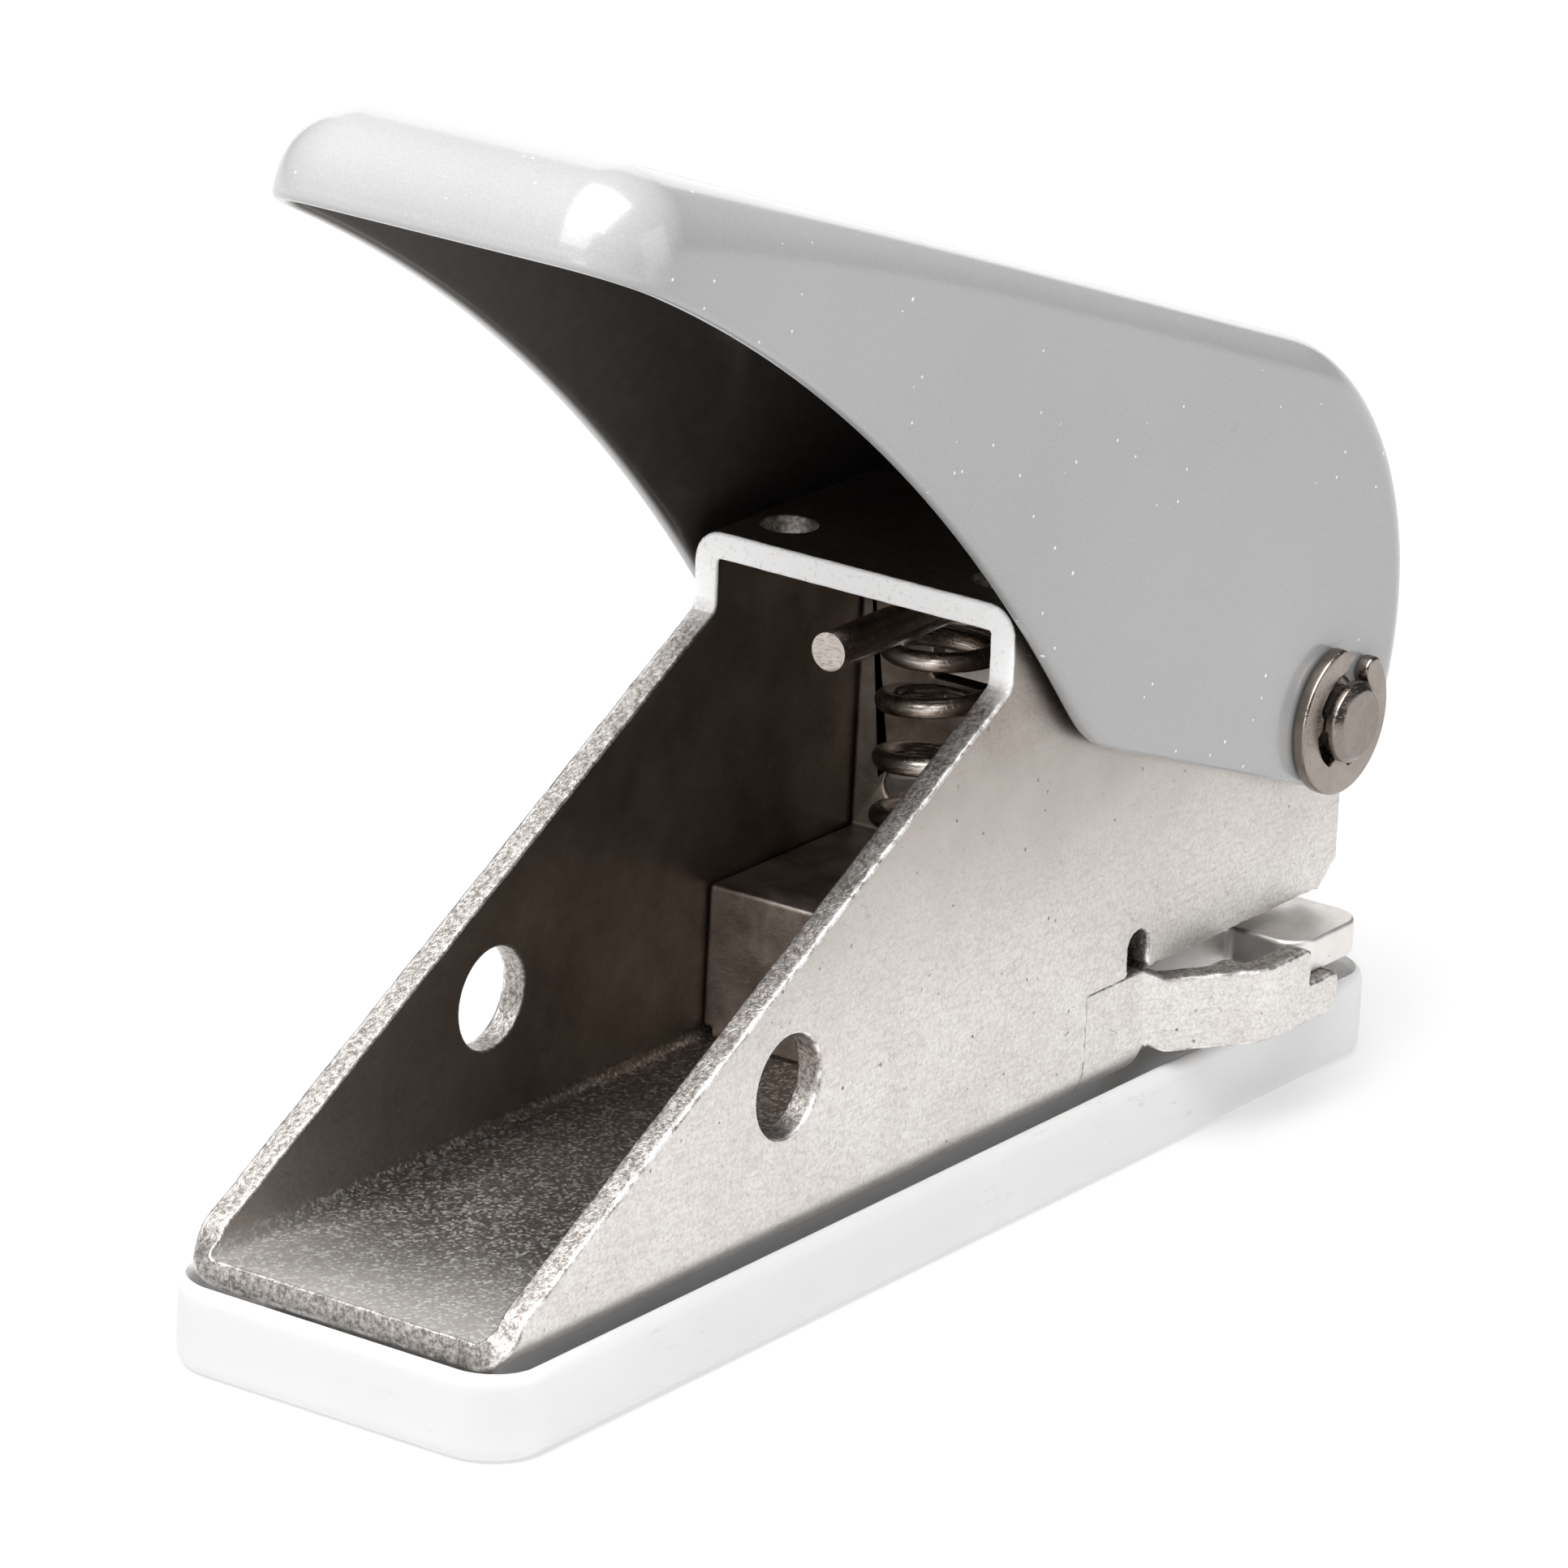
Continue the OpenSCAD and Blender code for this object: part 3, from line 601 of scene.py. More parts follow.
# ---- chip tray
def ring(l, w, r, z, seg=12):
    """Rounded rectangle with half sizes l and w."""
    pts = []
    for cx, cy, a0 in ((l - r, w - r, 0), (-l + r, w - r, 90), (-l + r, -w + r, 180), (l - r, -w + r, 270)):
        for k in range(seg + 1):
            a = (a0 + 90 * k / seg) * DEG
            pts.append((cx + r * math.cos(a), cy + r * math.sin(a), z))
    return pts


def tray_mesh():
    l, w, h = tray_hi
    wall, floor = 1.1, 1.1
    # the wall's section as (inwards, height): up the outside, over the top and down to the floor
    steps = [(1.0, 0), (0.55, 0.09), (0.22, 0.3), (0.04, 0.7), (0, 1.1), (0, h - 1.0),
             (0.05, h - 0.62), (0.16, h - 0.34), (0.34, h - 0.1), (0.55, h), (0.76, h - 0.08),
             (0.94, h - 0.27), (1.05, h - 0.55), (wall, h - 0.9), (wall, floor + 0.7),
             (wall + 0.16, floor + 0.3), (wall + 0.6, floor)]
    verts = []
    for d, z in steps:
        within = d > 0.6 and z > 1
        r = max(tray_corner_r - 1.9 * d, 0.5) if within else tray_corner_r - d
        verts += ring(l - d, w - d, r, z)
    n = len(verts) // len(steps)
    faces = bands(len(steps), n) + [tuple(range(n))[::-1]]
    base = (len(steps) - 1) * n
    index = list(range(base, base + n))
    loops = [np.array(verts[base:])[:, :2]]
    rib_y, rib_l, rib_t = half_w - 4, l - 6, 1.0
    for s in (-1, 1):
        rib = np.array(ring(rib_l, rib_t / 2, 0.45, 0, 4))[:, :2] + [0, s * rib_y]
        loops.append(rib[::-1])
    extra, tris = fill(loops, [(x, y) for x in np.arange(-50, 51, 5.0) for y in (-6.0, 0.0, 6.0)])
    rib_steps = [(0, floor), (0.06, floor + 0.5), (0.1, seat_z - 0.3), (0.18, seat_z - 0.08),
                 (0.32, seat_z)]
    for loop in loops[1:]:
        start, m = len(verts), len(loop)
        for d, z in rib_steps:
            verts += [(x, y, z) for x, y in inset(loop, -d, True)]
        index += list(range(start, start + m))
        faces += bands(len(rib_steps), m, start, True)
        faces.append(tuple(range(start, len(verts)))[-m:][::-1])
    start = len(verts)
    verts += [(x, y, floor) for x, y in extra]
    index += list(range(start, len(verts)))
    faces += [tuple(index[i] for i in t) for t in tris]
    return piece("moulded_tray", verts, faces, smooth=50)


# ---- small turned and stamped pieces
ROUND_RIM = [(0.1, 0.012), (0.19, 0.06), (0.25, 0.17), (0.27, 0.3)]


def both_ways(rim, thick):
    """A rim profile rounded on both sides of the plate."""
    return rim + [(a, thick - d) for a, d in reversed(rim)]


def clip_mesh():
    """Stamped retaining clips, open upwards, with three lobes that reach the pin's groove."""
    outer_r, ring_r, groove_r = (clip_hi[2] - clip_lo[2]) / 2, 3.5, hinge_r - 0.55
    thick, tilt = 1.1, -9 * DEG
    a_left, a_right = 110.0, 48.0  # where the arms end
    mid_r, tip_r = (outer_r + ring_r) / 2, (outer_r - ring_r) / 2

    def polar(r, a):
        return r * math.cos(a * DEG), r * math.sin(a * DEG)

    def lobe(a, at, half):
        d = abs((a - at + 180) % 360 - 180) / half
        return 0.0 if d >= 1 else (1 - d ** 2.6)

    def tip(at, start):
        x, y = polar(mid_r, at)
        turns = [polar(tip_r, start + t) for t in np.linspace(0, 180, 13)[1:-1]]
        return [(x + dx, y + dy) for dx, dy in turns]

    outer = [polar(outer_r, a) for a in np.linspace(a_left, a_right + 360, 110)]
    inner = []
    for a in np.linspace(a_right + 360, a_left, 150):
        pull = max(lobe(a, 182, 15), lobe(a, 268, 21), lobe(a, 358, 15))
        inner.append(polar(ring_r - (ring_r - groove_r) * pull, a))
    line = outer + tip(a_right, a_right) + inner + tip(a_left, a_left + 180)
    c, s = math.cos(tilt), math.sin(tilt)
    line = dense(np.array(line), 0.35, True) @ np.array([[c, s], [-s, c]])
    made = []
    for side in (-1, 1):
        def place(flat, side=side):
            y = np.full(len(flat), side * abs(clip_lo[1]))
            return np.stack([hinge_x - side * flat[:, 0], y, hinge_z + flat[:, 1]], 1), (0, side, 0)

        made.append(plate(line, [], place, thick, both_ways(ROUND_RIM, thick), ROUND_RIM[-1][0]))
    verts, norms = (np.concatenate([m[i] for m in made]) for i in (0, 1))
    faces = made[0][2] + [tuple(i + len(made[0][0]) for i in f) for f in made[1][2]]
    attrs = {k: np.concatenate([m[3][k] for m in made]) for k in ("cut", "inner")}
    return piece("retaining_clips", verts, faces, norms, attrs)


def pin_mesh():
    end, r, groove_r = pin_hi[1], hinge_r, hinge_r - 0.6
    lo, hi = clip_hi[1] - 1.05, clip_hi[1] + 0.05  # the groove's sides
    half = [(r - 0.64, end), (r - 0.54, end - 0.02), (r - 0.48, end - 0.07), (r - 0.09, end - 0.43),
            (r - 0.03, end - 0.51), (r, end - 0.6), (r, hi + 0.12), (r - 0.05, hi + 0.03), (r - 0.14, hi),
            (groove_r + 0.06, hi), (groove_r, hi - 0.08), (groove_r, lo + 0.08), (groove_r + 0.06, lo),
            (r - 0.12, lo), (r - 0.03, lo - 0.04), (r, lo - 0.14)]
    profile = half + [(r, -h) for r, h in reversed(half)]
    v, f = lathe(profile, lambda x, y, h: (hinge_x + x, h, hinge_z + y), 84)
    return piece("hinge_pin_turned", v, f, smooth=38)


def die_mesh():
    body_half, body_x, edge_in = half_w - sheet - 0.1, notch_x + 0.1, 0.32
    tab_half, top = die_hi[1], die_hi[2]
    half = [(die_lo[0], -body_half, 0.8), (body_x, -body_half, 0.7), (body_x, -tab_half, 2.2),
            (die_hi[0], -tab_half, 2.4)]
    outline = dense(rounded(half + [(x, -y, r) for x, y, r in reversed(half)]), 1.2, True)
    holes = [circle(punch_x, 0, punch_r + bore_gap, 56)]
    post_x, post_y = (post_lo[0] + post_hi[0]) / 2, post_hi[1] - rivet_head_r
    holes += [circle(post_x, s * post_y, rivet_bore_r, 28) for s in (-1, 1)]

    def place(flat):
        return np.stack([flat[:, 0], flat[:, 1], np.full(len(flat), top)], 1), (0, 0, 1)

    thick = top - die_lo[2]
    rim = [(0.12, 0.015), (0.22, 0.07), (0.3, 0.2), (edge_in, 0.36), (edge_in, 1.2), (edge_in, thick - 0.3),
           (0.28, thick - 0.12), (0.17, thick - 0.03)]
    v, n, f, attrs = plate(outline, holes, place, thick, rim, edge_in)
    return piece("stamped_die_plate", v, f, n, attrs)


def spring_mesh():
    turns, wire, per_turn, sides = 3.2, 1.5, 56, 18
    r_coil = (spring_hi[1] - spring_lo[1] - wire) / 2
    x0 = hinge_x - 21 - (2 * r_coil + wire) / 2 - 0.3
    low, high = spring_lo[2], spring_hi[2]
    pitch = wire * 1.08  # of the closed end turns
    opened = (high - low) - wire - 2 * pitch

    def rise(t):
        if t < 1:
            return pitch * t
        if t < 1 + turns:
            return pitch + opened * ((t - 1) / turns)
        return pitch + opened + pitch * (t - 1 - turns)

    n, soft = int((turns + 2) * per_turn), 0.06
    centre = []
    for i in range(n + 1):
        t = i / per_turn
        r = r_coil - 0.7 * max(0.0, t - 1 - turns)
        z = low + wire / 2
        z += (rise(t - soft) + rise(t) + rise(t + soft)) / 3 if soft < t < turns + 2 - soft else rise(t)
        centre.append((x0 + r * math.cos(2 * math.pi * t), r * math.sin(2 * math.pi * t), z))
    centre = np.array(centre)
    tangent = unit(np.gradient(centre, axis=0))
    out = centre - [x0, 0, 0]
    out[:, 2] = 0
    out = unit(out - tangent * (out * tangent).sum(1)[:, None])
    up = np.cross(tangent, out)

    def spokes(i):
        turn = [2 * math.pi * k / sides for k in range(sides)]
        return [out[i] * math.cos(b) + up[i] * math.sin(b) for b in turn]

    norms = [d for i in range(n + 1) for d in spokes(i)]
    verts = [centre[i // sides] + d * (wire / 2) for i, d in enumerate(norms)]
    faces = bands(n + 1, sides)
    # cut ends with a small chamfer
    for i, sign in ((0, -1), (n, 1)):
        start = len(verts)
        verts += [centre[i] + d * (wire / 2 - 0.12) + tangent[i] * sign * 0.1 for d in spokes(i)]
        norms += [tangent[i] * sign] * sides
        for k in range(sides):
            m = (k + 1) % sides
            quad = (i * sides + k, i * sides + m, start + m, start + k)
            faces.append(quad[::sign])
        faces.append(tuple(range(start, start + sides))[::sign])
    verts = np.array(verts)
    verts[:, 2] = np.clip(verts[:, 2], low, high)
    return piece("coil_spring", verts, faces, norms)


# ---- materials
class Shader:
    """A node material with a principled shader."""

    def __init__(self, name, **sockets):
        self.mat = bpy.data.materials.new(name)
        self.mat.use_nodes = True
        self.tree = self.mat.node_tree
        self.tree.nodes.clear()
        out = self.node("OutputMaterial")
        self.bsdf = self.node("BsdfPrincipled")
        self.put(out.inputs[0], self.bsdf.outputs[0])
        for key, value in sockets.items():
            self.set(key.replace("_", " "), value)
        self.coord = self.node("TexCoord").outputs["Object"]

    def node(self, kind, **sockets):
        """A new node with its named sockets set or linked."""
        n = self.tree.nodes.new("ShaderNode" + kind)
        for key, value in sockets.items():
            self.put(n.inputs[key], value)
        return n

    def set(self, key, value):
        self.put(self.bsdf.inputs[key], value)

    def put(self, socket, value):
        if isinstance(value, bpy.types.NodeSocket):
            self.tree.links.new(value, socket)
        else:
            socket.default_value = value

    def math(self, op, a, b=0.0, c=0.0):
        n = self.node("Math")
        n.operation = op
        for s, v in zip(n.inputs, (a, b, c)):
            self.put(s, v)
        return n.outputs[0]

    def add(self, a, b):
        return self.math("ADD", a, b)

    def mul(self, a, b):
        return self.math("MULTIPLY", a, b)

    def ramp(self, v, lo, hi, to_lo=0.0, to_hi=1.0, smooth=False):
        n = self.node("MapRange")
        n.interpolation_type = "SMOOTHSTEP" if smooth else "LINEAR"
        for s, x in zip(n.inputs, (v, lo, hi, to_lo, to_hi)):
            self.put(s, x)
        return n.outputs[0]

    def mix(self, f, a, b):
        """Colours a to b by the factor f."""
        n = self.node("Mix")
        n.data_type = "RGBA"
        self.put(n.inputs[0], f)
        for s, v in ((n.inputs[6], a), (n.inputs[7], b)):
            self.put(s, v if isinstance(v, bpy.types.NodeSocket) else (*v, 1.0))
        return n.outputs[2]

    def place(self, scale=(1, 1, 1), turn=(0, 0, 0)):
        turn = [a * DEG for a in turn]
        return self.node("Mapping", Rotation=turn, Scale=scale, Vector=self.coord).outputs[0]

    def noise(self, scale, detail=2.0, rough=0.5, vector=None, distortion=0.0):
        n = self.node("TexNoise", Vector=vector or self.coord, Scale=scale, Detail=detail,
                      Roughness=rough, Distortion=distortion)
        return n.outputs[0]

    def cells(self, scale, out="Distance"):
        return self.node("TexVoronoi", Vector=self.coord, Scale=scale).outputs[out]

    def spread(self, v, to_lo=0.0, to_hi=1.0):
        """The middle of a noise's range, 0.3 to 0.7, stretched to new ends."""
        return self.ramp(v, 0.3, 0.7, to_lo, to_hi)

    def tint(self, base, mask, amount, color):
        return self.mix(self.mul(mask, amount), base, color)

    def spots(self, scale, share, size):
        """Soft dots: 1 inside, in that share of the cells."""
        dist = self.cells(scale)
        pick = self.node("SeparateColor", Color=self.cells(scale, "Color"))
        chosen = self.ramp(pick.outputs[0], 1 - share, 1 - share + 0.002)
        radius = self.mul(self.ramp(pick.outputs[1], 0, 1, 0.45, 1.0), size)
        return self.mul(chosen, self.ramp(self.math("DIVIDE", dist, radius), 0.75, 1.0, 1.0, 0.0, True))

    def attr(self, name):
        n = self.node("Attribute")
        n.attribute_name = name
        return n.outputs["Fac"]

    def axis(self, i):
        return self.node("SeparateXYZ", Vector=self.coord).outputs[i]

    def bump(self, height, distance, strength=1.0, onto=None):
        n = self.node("Bump", Distance=distance, Strength=strength, Height=height)
        if onto is not None:
            self.put(n.inputs["Normal"], onto)
        self.set("Normal", n.outputs[0])
        return n.outputs[0]


def lever_paint():
    """White gloss paint with dust and small marks; the inner side is coloured near black as painted shade,
    lighter towards the open front end as painted light falling in.
    """
    s = Shader("white_paint", Metallic=0.0, IOR=1.5, Coat_Weight=0.35, Coat_Roughness=0.08)
    inner = s.ramp(s.attr("inner"), 0.55, 0.95, smooth=True)
    cloud = s.noise(26, 3, 0.6)
    fine = s.noise(5200, 2, 0.6)
    base = s.mix(s.spread(cloud), (0.33, 0.332, 0.335), (0.37, 0.372, 0.375))
    base = s.tint(base, s.spread(fine), 0.14, (0.6, 0.6, 0.6))
    dust = s.spots(420, 0.2, 0.11)
    motes = s.spots(1100, 0.06, 0.16)
    marks = s.mul(s.spots(150, 0.05, 0.12), s.ramp(s.noise(2600, 2), 0.45, 0.6))
    base = s.tint(base, s.add(dust, motes), 0.75, (1.0, 1.0, 1.0))
    base = s.tint(base, marks, 0.45, (0.25, 0.24, 0.23))
    # painted shade: the inner side is coloured near black where it lies in shade; towards the open front
    # end it is lighter, painted light that falls in there
    inner_painted_shade = s.mix(s.ramp(s.noise(900, 4, 0.7), 0.3, 0.75), (0.055, 0.048, 0.043), (0.085, 0.076, 0.069))
    inner_painted_shade = s.mix(s.ramp(s.axis(0), -0.045, 0.0), s.mix(0.5, inner_painted_shade, (0.21, 0.20, 0.19)), inner_painted_shade)
    s.set("Base Color", s.mix(inner, base, inner_painted_shade))
    s.set("Roughness", s.add(s.spread(s.noise(60, 3), 0.2, 0.27), s.mul(inner, 0.22)))
    first = s.bump(s.noise(420, 2, 0.5), 0.00004, 0.28)
    s.bump(s.add(s.mul(fine, 0.3), s.mul(s.add(dust, motes), 0.9)), 0.00005, 0.5, first)
    return s.mat


def nickel():
    """Plated sheet: cloudy and scratched outside, with painted shade inside and high on the outer wall, and
    painted glints and light on the floor, the cut edges and the bridge.
    """
    s = Shader("nickel_sheet")
    cut = s.ramp(s.attr("cut"), 0.5, 0.98)
    inner = s.ramp(s.attr("inner"), 0.6, 1.0)
    deep_shade = s.ramp(s.axis(0), -0.050, -0.012, smooth=True)
    cloud = s.noise(38, 4, 0.62, distortion=0.6)
    haze = s.noise(160, 4, 0.7)
    brush = s.noise(1.0, 3, 0.65, s.place((700, 700, 5200), (0, 38, 0)))
    brush_b = s.noise(1.0, 2, 0.6, s.place((1200, 1200, 9000), (0, -50, 0)))
    grain = s.noise(3600, 4, 0.8)
    # painted shade: the outer wall and the top plate are coloured darker brown higher up, where the lever
    # overhangs them
    up = s.ramp(s.add(s.axis(2), s.ramp(cloud, 0.2, 0.8, -0.006, 0.006)), 0.013, 0.040, smooth=True)
    bright = s.mix(s.ramp(cloud, 0.32, 0.68), (0.74, 0.71, 0.685), (0.86, 0.84, 0.82))
    bright = s.mix(up, bright, (0.25, 0.215, 0.19))
    bright = s.mix(s.ramp(haze, 0.4, 0.72, 0.0, 0.3), bright, (0.56, 0.52, 0.485))
    bright = s.mix(s.ramp(grain, 0.40, 0.62, 0.0, 0.5), bright, (0.42, 0.38, 0.35))
    flecks = s.ramp(s.noise(1500, 3, 0.85), 0.60, 0.70)
    bright = s.tint(bright, flecks, 0.5, (0.30, 0.265, 0.24))
    bright = s.mix(s.ramp(brush, 0.5, 0.7, 0.0, 0.34), bright, (0.42, 0.385, 0.355))
    pits = s.mul(s.spots(900, 0.3, 0.16), s.ramp(s.noise(2300, 2, 0.7), 0.45, 0.6))
    nicks = s.mul(s.spots(300, 0.12, 0.09), s.ramp(s.noise(3200, 2), 0.48, 0.6))
    warp = s.noise(420, 2, 0.5)
    hair = s.math("ABSOLUTE", s.add(s.noise(330, 1, 0.4, distortion=2.2), -0.5))
    hair = s.ramp(hair, 0.0, 0.006, 1.0, 0.0)
    hair = s.mul(hair, s.mul(s.ramp(warp, 0.56, 0.62), s.ramp(s.noise(140, 1), 0.5, 0.58)))
    dark = s.math("MAXIMUM", s.math("MAXIMUM", pits, nicks), s.mul(hair, 0.7))
    bright = s.tint(bright, dark, 0.75, (0.12, 0.10, 0.088))
    # painted shade: the inside of the channel is coloured dark, darker towards its back
    floor_up = s.ramp(s.axis(2), 0.0078, 0.0092, 1.0, 0.0, True)
    channel_shade = s.mix(s.ramp(s.noise(120, 4, 0.7), 0.3, 0.75), (0.17, 0.136, 0.112), (0.36, 0.31, 0.27))
    inside = s.mix(s.mul(deep_shade, s.ramp(cloud, 0.2, 0.8, 0.75, 1.0)), s.mix(0.5, bright, channel_shade), channel_shade)
    # painted glints and light on the floor: its grain's bumps are real, but the bright cells in its colour
    # are painted glints, it is lighter towards the open front as painted light, and darker towards the back
    # as painted shade
    tone = s.node("SeparateColor", Color=s.cells(4300, "Color"))
    glint = s.math("POWER", tone.outputs[0], 3.4)
    floor_painted_light = s.mix(glint, (0.15, 0.127, 0.112), (1.0, 0.98, 0.95))
    front = s.ramp(s.axis(0), -0.052, -0.034, 1.0, 0.0, True)
    floor_painted_light = s.tint(floor_painted_light, front, 0.8, s.mix(glint, (0.80, 0.76, 0.72), (1.0, 1.0, 1.0)))
    floor_painted_light = s.tint(floor_painted_light, deep_shade, 0.5, s.mix(0.5, channel_shade, (0.10, 0.08, 0.066)))
    inside = s.mix(floor_up, inside, floor_painted_light)
    color = s.mix(inner, bright, inside)
    sheared = s.mix(s.ramp(s.noise(2600, 4, 0.8), 0.40, 0.62), (0.22, 0.20, 0.183), (0.68, 0.65, 0.625))
    # painted glint: a bright line along the cut rim next to the outer face
    edge_glint = s.ramp(s.attr("inner"), 0.12, 0.26, 1.0, 0.0, True)
    sheared = s.mix(s.mul(edge_glint, s.ramp(s.noise(700, 3, 0.7), 0.4, 0.6)), sheared, (1.0, 0.99, 0.98))
    bridge = s.mul(s.ramp(s.axis(2), 0.0385, 0.0405), s.ramp(s.axis(0), 0.0045, 0.006, 1.0, 0.0))
    sheared = s.mix(s.ramp(s.noise(2100, 4, 0.85), 0.34, 0.42), (0.42, 0.39, 0.37), sheared)
    bridge_highlight = s.mix(s.ramp(s.noise(1700, 4, 0.85), 0.36, 0.44), (0.80, 0.78, 0.76), (1.0, 1.0, 1.0))
    # painted highlight: the bridge's cut front edge is coloured nearly white and made hardly metallic, for
    # the light it catches
    sheared = s.mix(bridge, sheared, bridge_highlight)
    s.set("Metallic", s.ramp(s.mul(cut, bridge), 0.0, 1.0, 1.0, 0.05))
    s.set("Base Color", s.mix(cut, color, sheared))
    rough = s.add(s.spread(cloud, 0.30, 0.38), s.mul(grain, 0.10))
    rough = s.add(rough, s.mul(pits, 0.3))
    rough = s.add(rough, s.mul(s.mul(inner, floor_up), 0.08))
    rough = s.add(rough, s.mul(cut, 0.03))
    s.set("Roughness", rough)
    first = s.bump(s.add(s.mul(brush, 0.7), s.mul(brush_b, 0.4)), 0.00003, 0.35)
    height = s.add(s.mul(grain, 0.5), s.mul(pits, -1.2))
    height = s.add(height, s.mul(s.mul(s.mul(inner, floor_up), tone.outputs[1]), 2.6))
    height = s.add(height, s.mul(s.mul(cut, s.noise(2600, 4, 0.8)), 2.2))
    s.bump(height, 0.00006, 0.6, first)
    return s.mat


def dark_nickel(name, low, high, rough_lo, rough_hi, scratch=0.5):
    """Polished or ground metal with fine scratches, cloudy tarnish and grime in its pits."""
    s = Shader(name, Metallic=1.0)
    cloud = s.noise(240, 4, 0.65, distortion=0.4)
    color = s.mix(s.spread(cloud), low, high)
    lines = s.noise(1.0, 3, 0.7, s.place((1300, 1300, 15000), (20, 35, 0)))
    cross = s.noise(1.0, 2, 0.7, s.place((14000, 1500, 1500), (0, 15, 50)))
    fine = s.math("MAXIMUM", s.ramp(lines, 0.58, 0.75), s.ramp(cross, 0.62, 0.78))
    color = s.tint(color, fine, 0.3 * scratch, (0.85, 0.83, 0.8))
    pits = s.spots(1500, 0.1, 0.14)
    color = s.tint(color, pits, 0.7, (0.04, 0.034, 0.03))
    s.set("Base Color", color)
    s.set("Roughness", s.add(s.spread(cloud, rough_lo, rough_hi), s.mul(fine, 0.15 * scratch)))
    dents = s.add(s.mul(pits, -0.8), s.mul(s.noise(4200, 3, 0.7), 0.4))
    s.bump(s.add(s.mul(fine, -0.6), dents), 0.00004, 0.5)
    return s.mat


def tray_plastic():
    """Milky moulded plastic with long scuffs and dirt marks."""
    s = Shader("white_plastic", Metallic=0.0, IOR=1.49, Subsurface_Weight=0.5, Subsurface_Scale=0.002)
    s.set("Subsurface Radius", (1.0, 0.95, 0.9))
    cloud = s.noise(45, 3, 0.6)
    base = s.mix(s.spread(cloud), (0.82, 0.822, 0.825), (0.87, 0.87, 0.87))
    lines = s.noise(1.0, 4, 0.75, s.place((300, 300, 1600), (0, 12, 0)))
    scuff = s.mul(s.ramp(lines, 0.6, 0.72), s.ramp(s.noise(60, 2), 0.5, 0.62))
    marks = s.mul(s.spots(230, 0.10, 0.2), s.ramp(s.noise(1900, 3, 0.7), 0.5, 0.62))
    s.set("Base Color", s.tint(base, s.math("MAXIMUM", scuff, marks), 0.5, (0.62, 0.61, 0.6)))
    s.set("Roughness", s.add(s.spread(s.noise(300, 3), 0.34, 0.46), s.mul(scuff, 0.2)))
    first = s.bump(s.noise(900, 3, 0.6), 0.00003, 0.3)
    s.bump(s.add(s.mul(scuff, -1.0), s.mul(marks, 0.8)), 0.00004, 0.5, first)
    return s.mat


def brass():
    s = Shader("bush_brass", Metallic=1.0)
    cloud = s.noise(300, 4, 0.6)
    s.set("Base Color", s.mix(s.spread(cloud), (0.62, 0.44, 0.19), (0.78, 0.60, 0.31)))
    rings = s.noise(1.0, 2, 0.6, s.place((700, 700, 9000)))
    s.set("Roughness", s.spread(rings, 0.22, 0.38))
    s.bump(rings, 0.00003, 0.4)
    return s.mat


mats = {
    "white_paint": lever_paint(),
    "nickel_sheet": nickel(),
    "white_plastic": tray_plastic(),
    "rivet_steel": dark_nickel("rivet_steel", (0.50, 0.48, 0.46), (0.66, 0.64, 0.62), 0.28, 0.4),
    "bush_brass": brass(),
    "ground_plate": dark_nickel("ground_plate", (0.72, 0.69, 0.665), (0.88, 0.86, 0.84), 0.42, 0.52, 0.5),
    "tool_steel": dark_nickel("tool_steel", (0.52, 0.50, 0.48), (0.68, 0.66, 0.64), 0.16, 0.28, 0.8),
    "spring_steel": dark_nickel("spring_steel", (0.36, 0.315, 0.28), (0.56, 0.51, 0.47), 0.18, 0.30),
    "dark_nickel": dark_nickel("dark_nickel", (0.24, 0.205, 0.18), (0.33, 0.29, 0.26), 0.17, 0.26),
    "pin_nickel": dark_nickel("pin_nickel", (0.19, 0.162, 0.143), (0.29, 0.255, 0.23), 0.16, 0.30, 0.8),
    "bracket_sheet": dark_nickel("bracket_sheet", (0.27, 0.225, 0.19), (0.50, 0.44, 0.39), 0.34, 0.5),
}


def finish_piece(obj, body, slot, nodes, mat=None):
    """Material, body and replaced CAD nodes of a detailed piece; slot names its material unless mat is
    given.
    """
    obj.data.materials.clear()
    obj.data.materials.append(mats[mat or slot])
    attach(obj, body)
    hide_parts(*nodes)
    return obj


finish_piece(lever_mesh(), "lever", "white_paint", ["lever_shell"])
finish_piece(frame_mesh(), "frame_body", "nickel_sheet", ["frame"])
tray = finish_piece(tray_mesh(), "tray", "white_plastic", ["chip_tray"])
finish_piece(clip_mesh(), "frame_body", "dark_nickel", ["e_clips"])
finish_piece(pin_mesh(), "frame_body", "dark_nickel", ["hinge_pin"], "pin_nickel")
finish_piece(die_mesh(), "frame_body", "tool_steel", ["die_plate"], "ground_plate")
coil = finish_piece(spring_mesh(), "frame_body", "spring_steel", ["return_spring"])
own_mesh(coil)


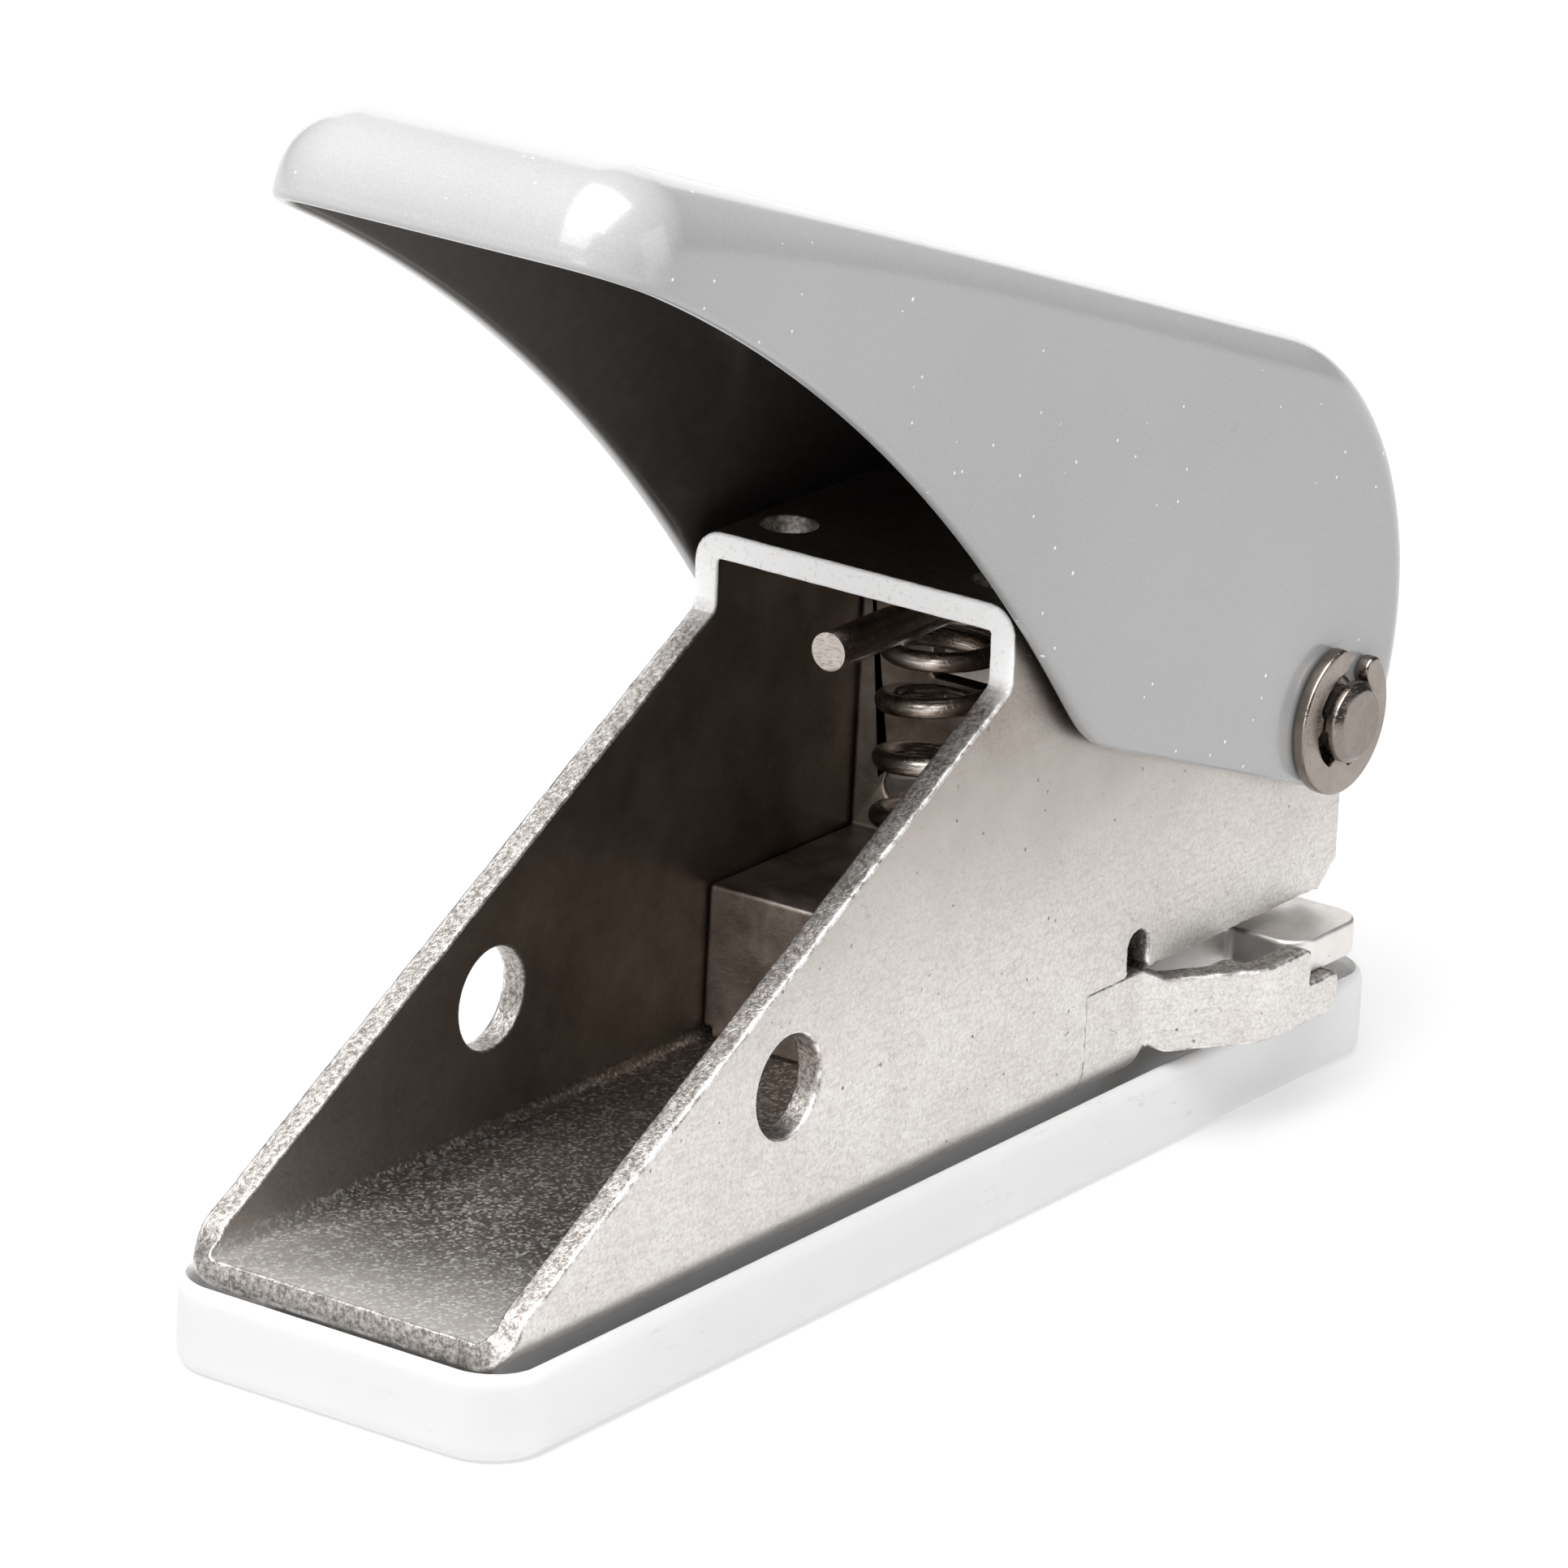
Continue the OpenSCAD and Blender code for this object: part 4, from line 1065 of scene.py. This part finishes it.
# CAD nodes that stay: welded, with a material and edges rounded by so many mm
kept = {
    "spring_bracket": ("bracket_sheet", 0.35), "guide_bracket": ("bracket_sheet", 0.3),
    "bracket_rivets": ("rivet_steel", 0.15), "guide_rivets": ("rivet_steel", 0.15),
    "die_rivets": ("rivet_steel", 0.12), "guide_bush": ("bush_brass", 0.12),
    "spring_seat": ("rivet_steel", 0.12), "punch_pin": ("tool_steel", 0.15),
    "lift_rod": ("spring_steel", 0.22), "rod_clip": ("spring_steel", 0.08),
    "hinge_washers": ("rivet_steel", 0.06),
}
for name, (slot, width) in kept.items():
    o = frame["nodes"][name]
    o.data.materials.clear()
    o.data.materials.append(mats[slot])
    for p in o.data.polygons:
        p.use_smooth = True
        p.material_index = 0
    if "custom_normal" in o.data.attributes:
        o.data.attributes.remove(o.data.attributes["custom_normal"])
    weld = o.modifiers.new("weld", "WELD")
    weld.merge_threshold = 2e-6
    bevel = o.modifiers.new("edges", "BEVEL")
    bevel.width, bevel.segments = width * MM, 3
    bevel.limit_method, bevel.angle_limit = "ANGLE", 40 * DEG
    bevel.use_clamp_overlap = True
    o.modifiers.new("flat faces", "WEIGHTED_NORMAL").keep_sharp = True


# ---- camera, floor and light
def look(obj, at, to, roll=0.0):
    """Place an object at a point, looking at another, rolled by an angle."""
    fwd = (Vector(to) - Vector(at)).normalized()
    right = fwd.cross(Vector((0, 0, 1))).normalized()
    up = right.cross(fwd)
    c, s = math.cos(roll), math.sin(roll)
    right, up = right * c + up * s, up * c - right * s
    m = Matrix((right, up, -fwd)).transposed().to_4x4()
    m.translation = Vector(at)
    obj.matrix_world = m


target = Vector((12.2, 10.9, 24.8)) * MM
aim = Vector((0.7793, 0.5331, -0.3293)).normalized()
cam_data = bpy.data.cameras.new("camera")
cam = bpy.data.objects.new("camera", cam_data)
scene.collection.objects.link(cam)
cam_data.lens, cam_data.sensor_width = 236.6, 36
cam_data.clip_start, cam_data.clip_end = 0.05, 50
distance, roll = 0.730, 2.87 * DEG
look(cam, target - aim * distance, target, roll)
bpy.context.scene.camera = cam


def area(name, at, to, size, power):
    data = bpy.data.lights.new(name, "AREA")
    data.shape, data.size, data.size_y, data.energy = "RECTANGLE", size, size, power
    obj = bpy.data.objects.new(name, data)
    scene.collection.objects.link(obj)
    look(obj, at, to)
    return obj


def stage_floor():
    """A wide pale table with a slightly clouded matt face, glowing enough to read as white paper."""
    n, size = 24, 6.0
    at = [(i / n - 0.5) * size / MM for i in range(n + 1)]
    verts = [(x, y, -0.02) for x in at for y in at]
    faces = []
    for i in range(n):
        for j in range(n):
            a, b = i * (n + 1) + j, (i + 1) * (n + 1) + j
            faces.append((a, b, b + 1, a + 1))
    obj = piece("floor", verts, faces, flat_weight=False)
    s = Shader("floor_card", Metallic=0.0, Roughness=0.85)
    s.set("Base Color", s.mix(s.spread(s.noise(8, 3)), (0.35, 0.35, 0.35), (0.37, 0.37, 0.37)))
    s.set("Emission Color", (1, 1, 1, 1))
    s.set("Emission Strength", 0.52)
    s.set("Specular IOR Level", 0.1)
    obj.data.materials.append(s.mat)


stage_floor()
world = bpy.data.worlds.new("studio")
scene.world = world
world.use_nodes = True
background = world.node_tree.nodes["Background"]
background.inputs[0].default_value = (0.085, 0.08, 0.077, 1)
background.inputs[1].default_value = 1.0


def lights_only(light, objects):
    """Limit a light to some of the objects."""
    group = bpy.data.collections.new(light.name + " receivers")
    for o in objects:
        group.objects.link(o)
    light.light_linking.receiver_collection = group


# key and low face the open front end, top is overhead, near faces the near side, rear the hinge end
key = area("key", (-0.85, 0.10, 0.85), (0, 0, 0.03), 0.8, 9.3)
low = area("low", (-1.1, -0.12, 0.13), (0, 0, 0.04), 0.35, 1.3)
area("top", (-0.3, 0.0, 1.1), (0, 0, 0.0), 1.1, 25.0)
area("near", (0.35, -1.25, 0.4), (0, 0, 0.03), 0.9, 4.2)
area("rear", (1.1, 0.8, 0.45), (0, 0, 0.03), 1.1, 5.0)
# the tray would burn out to plain white in the two front lights
others = [o for o in scene.objects if o.type == "MESH" and o is not tray]
lights_only(key, others)
lights_only(low, others)

scene.view_settings.view_transform = "Standard"
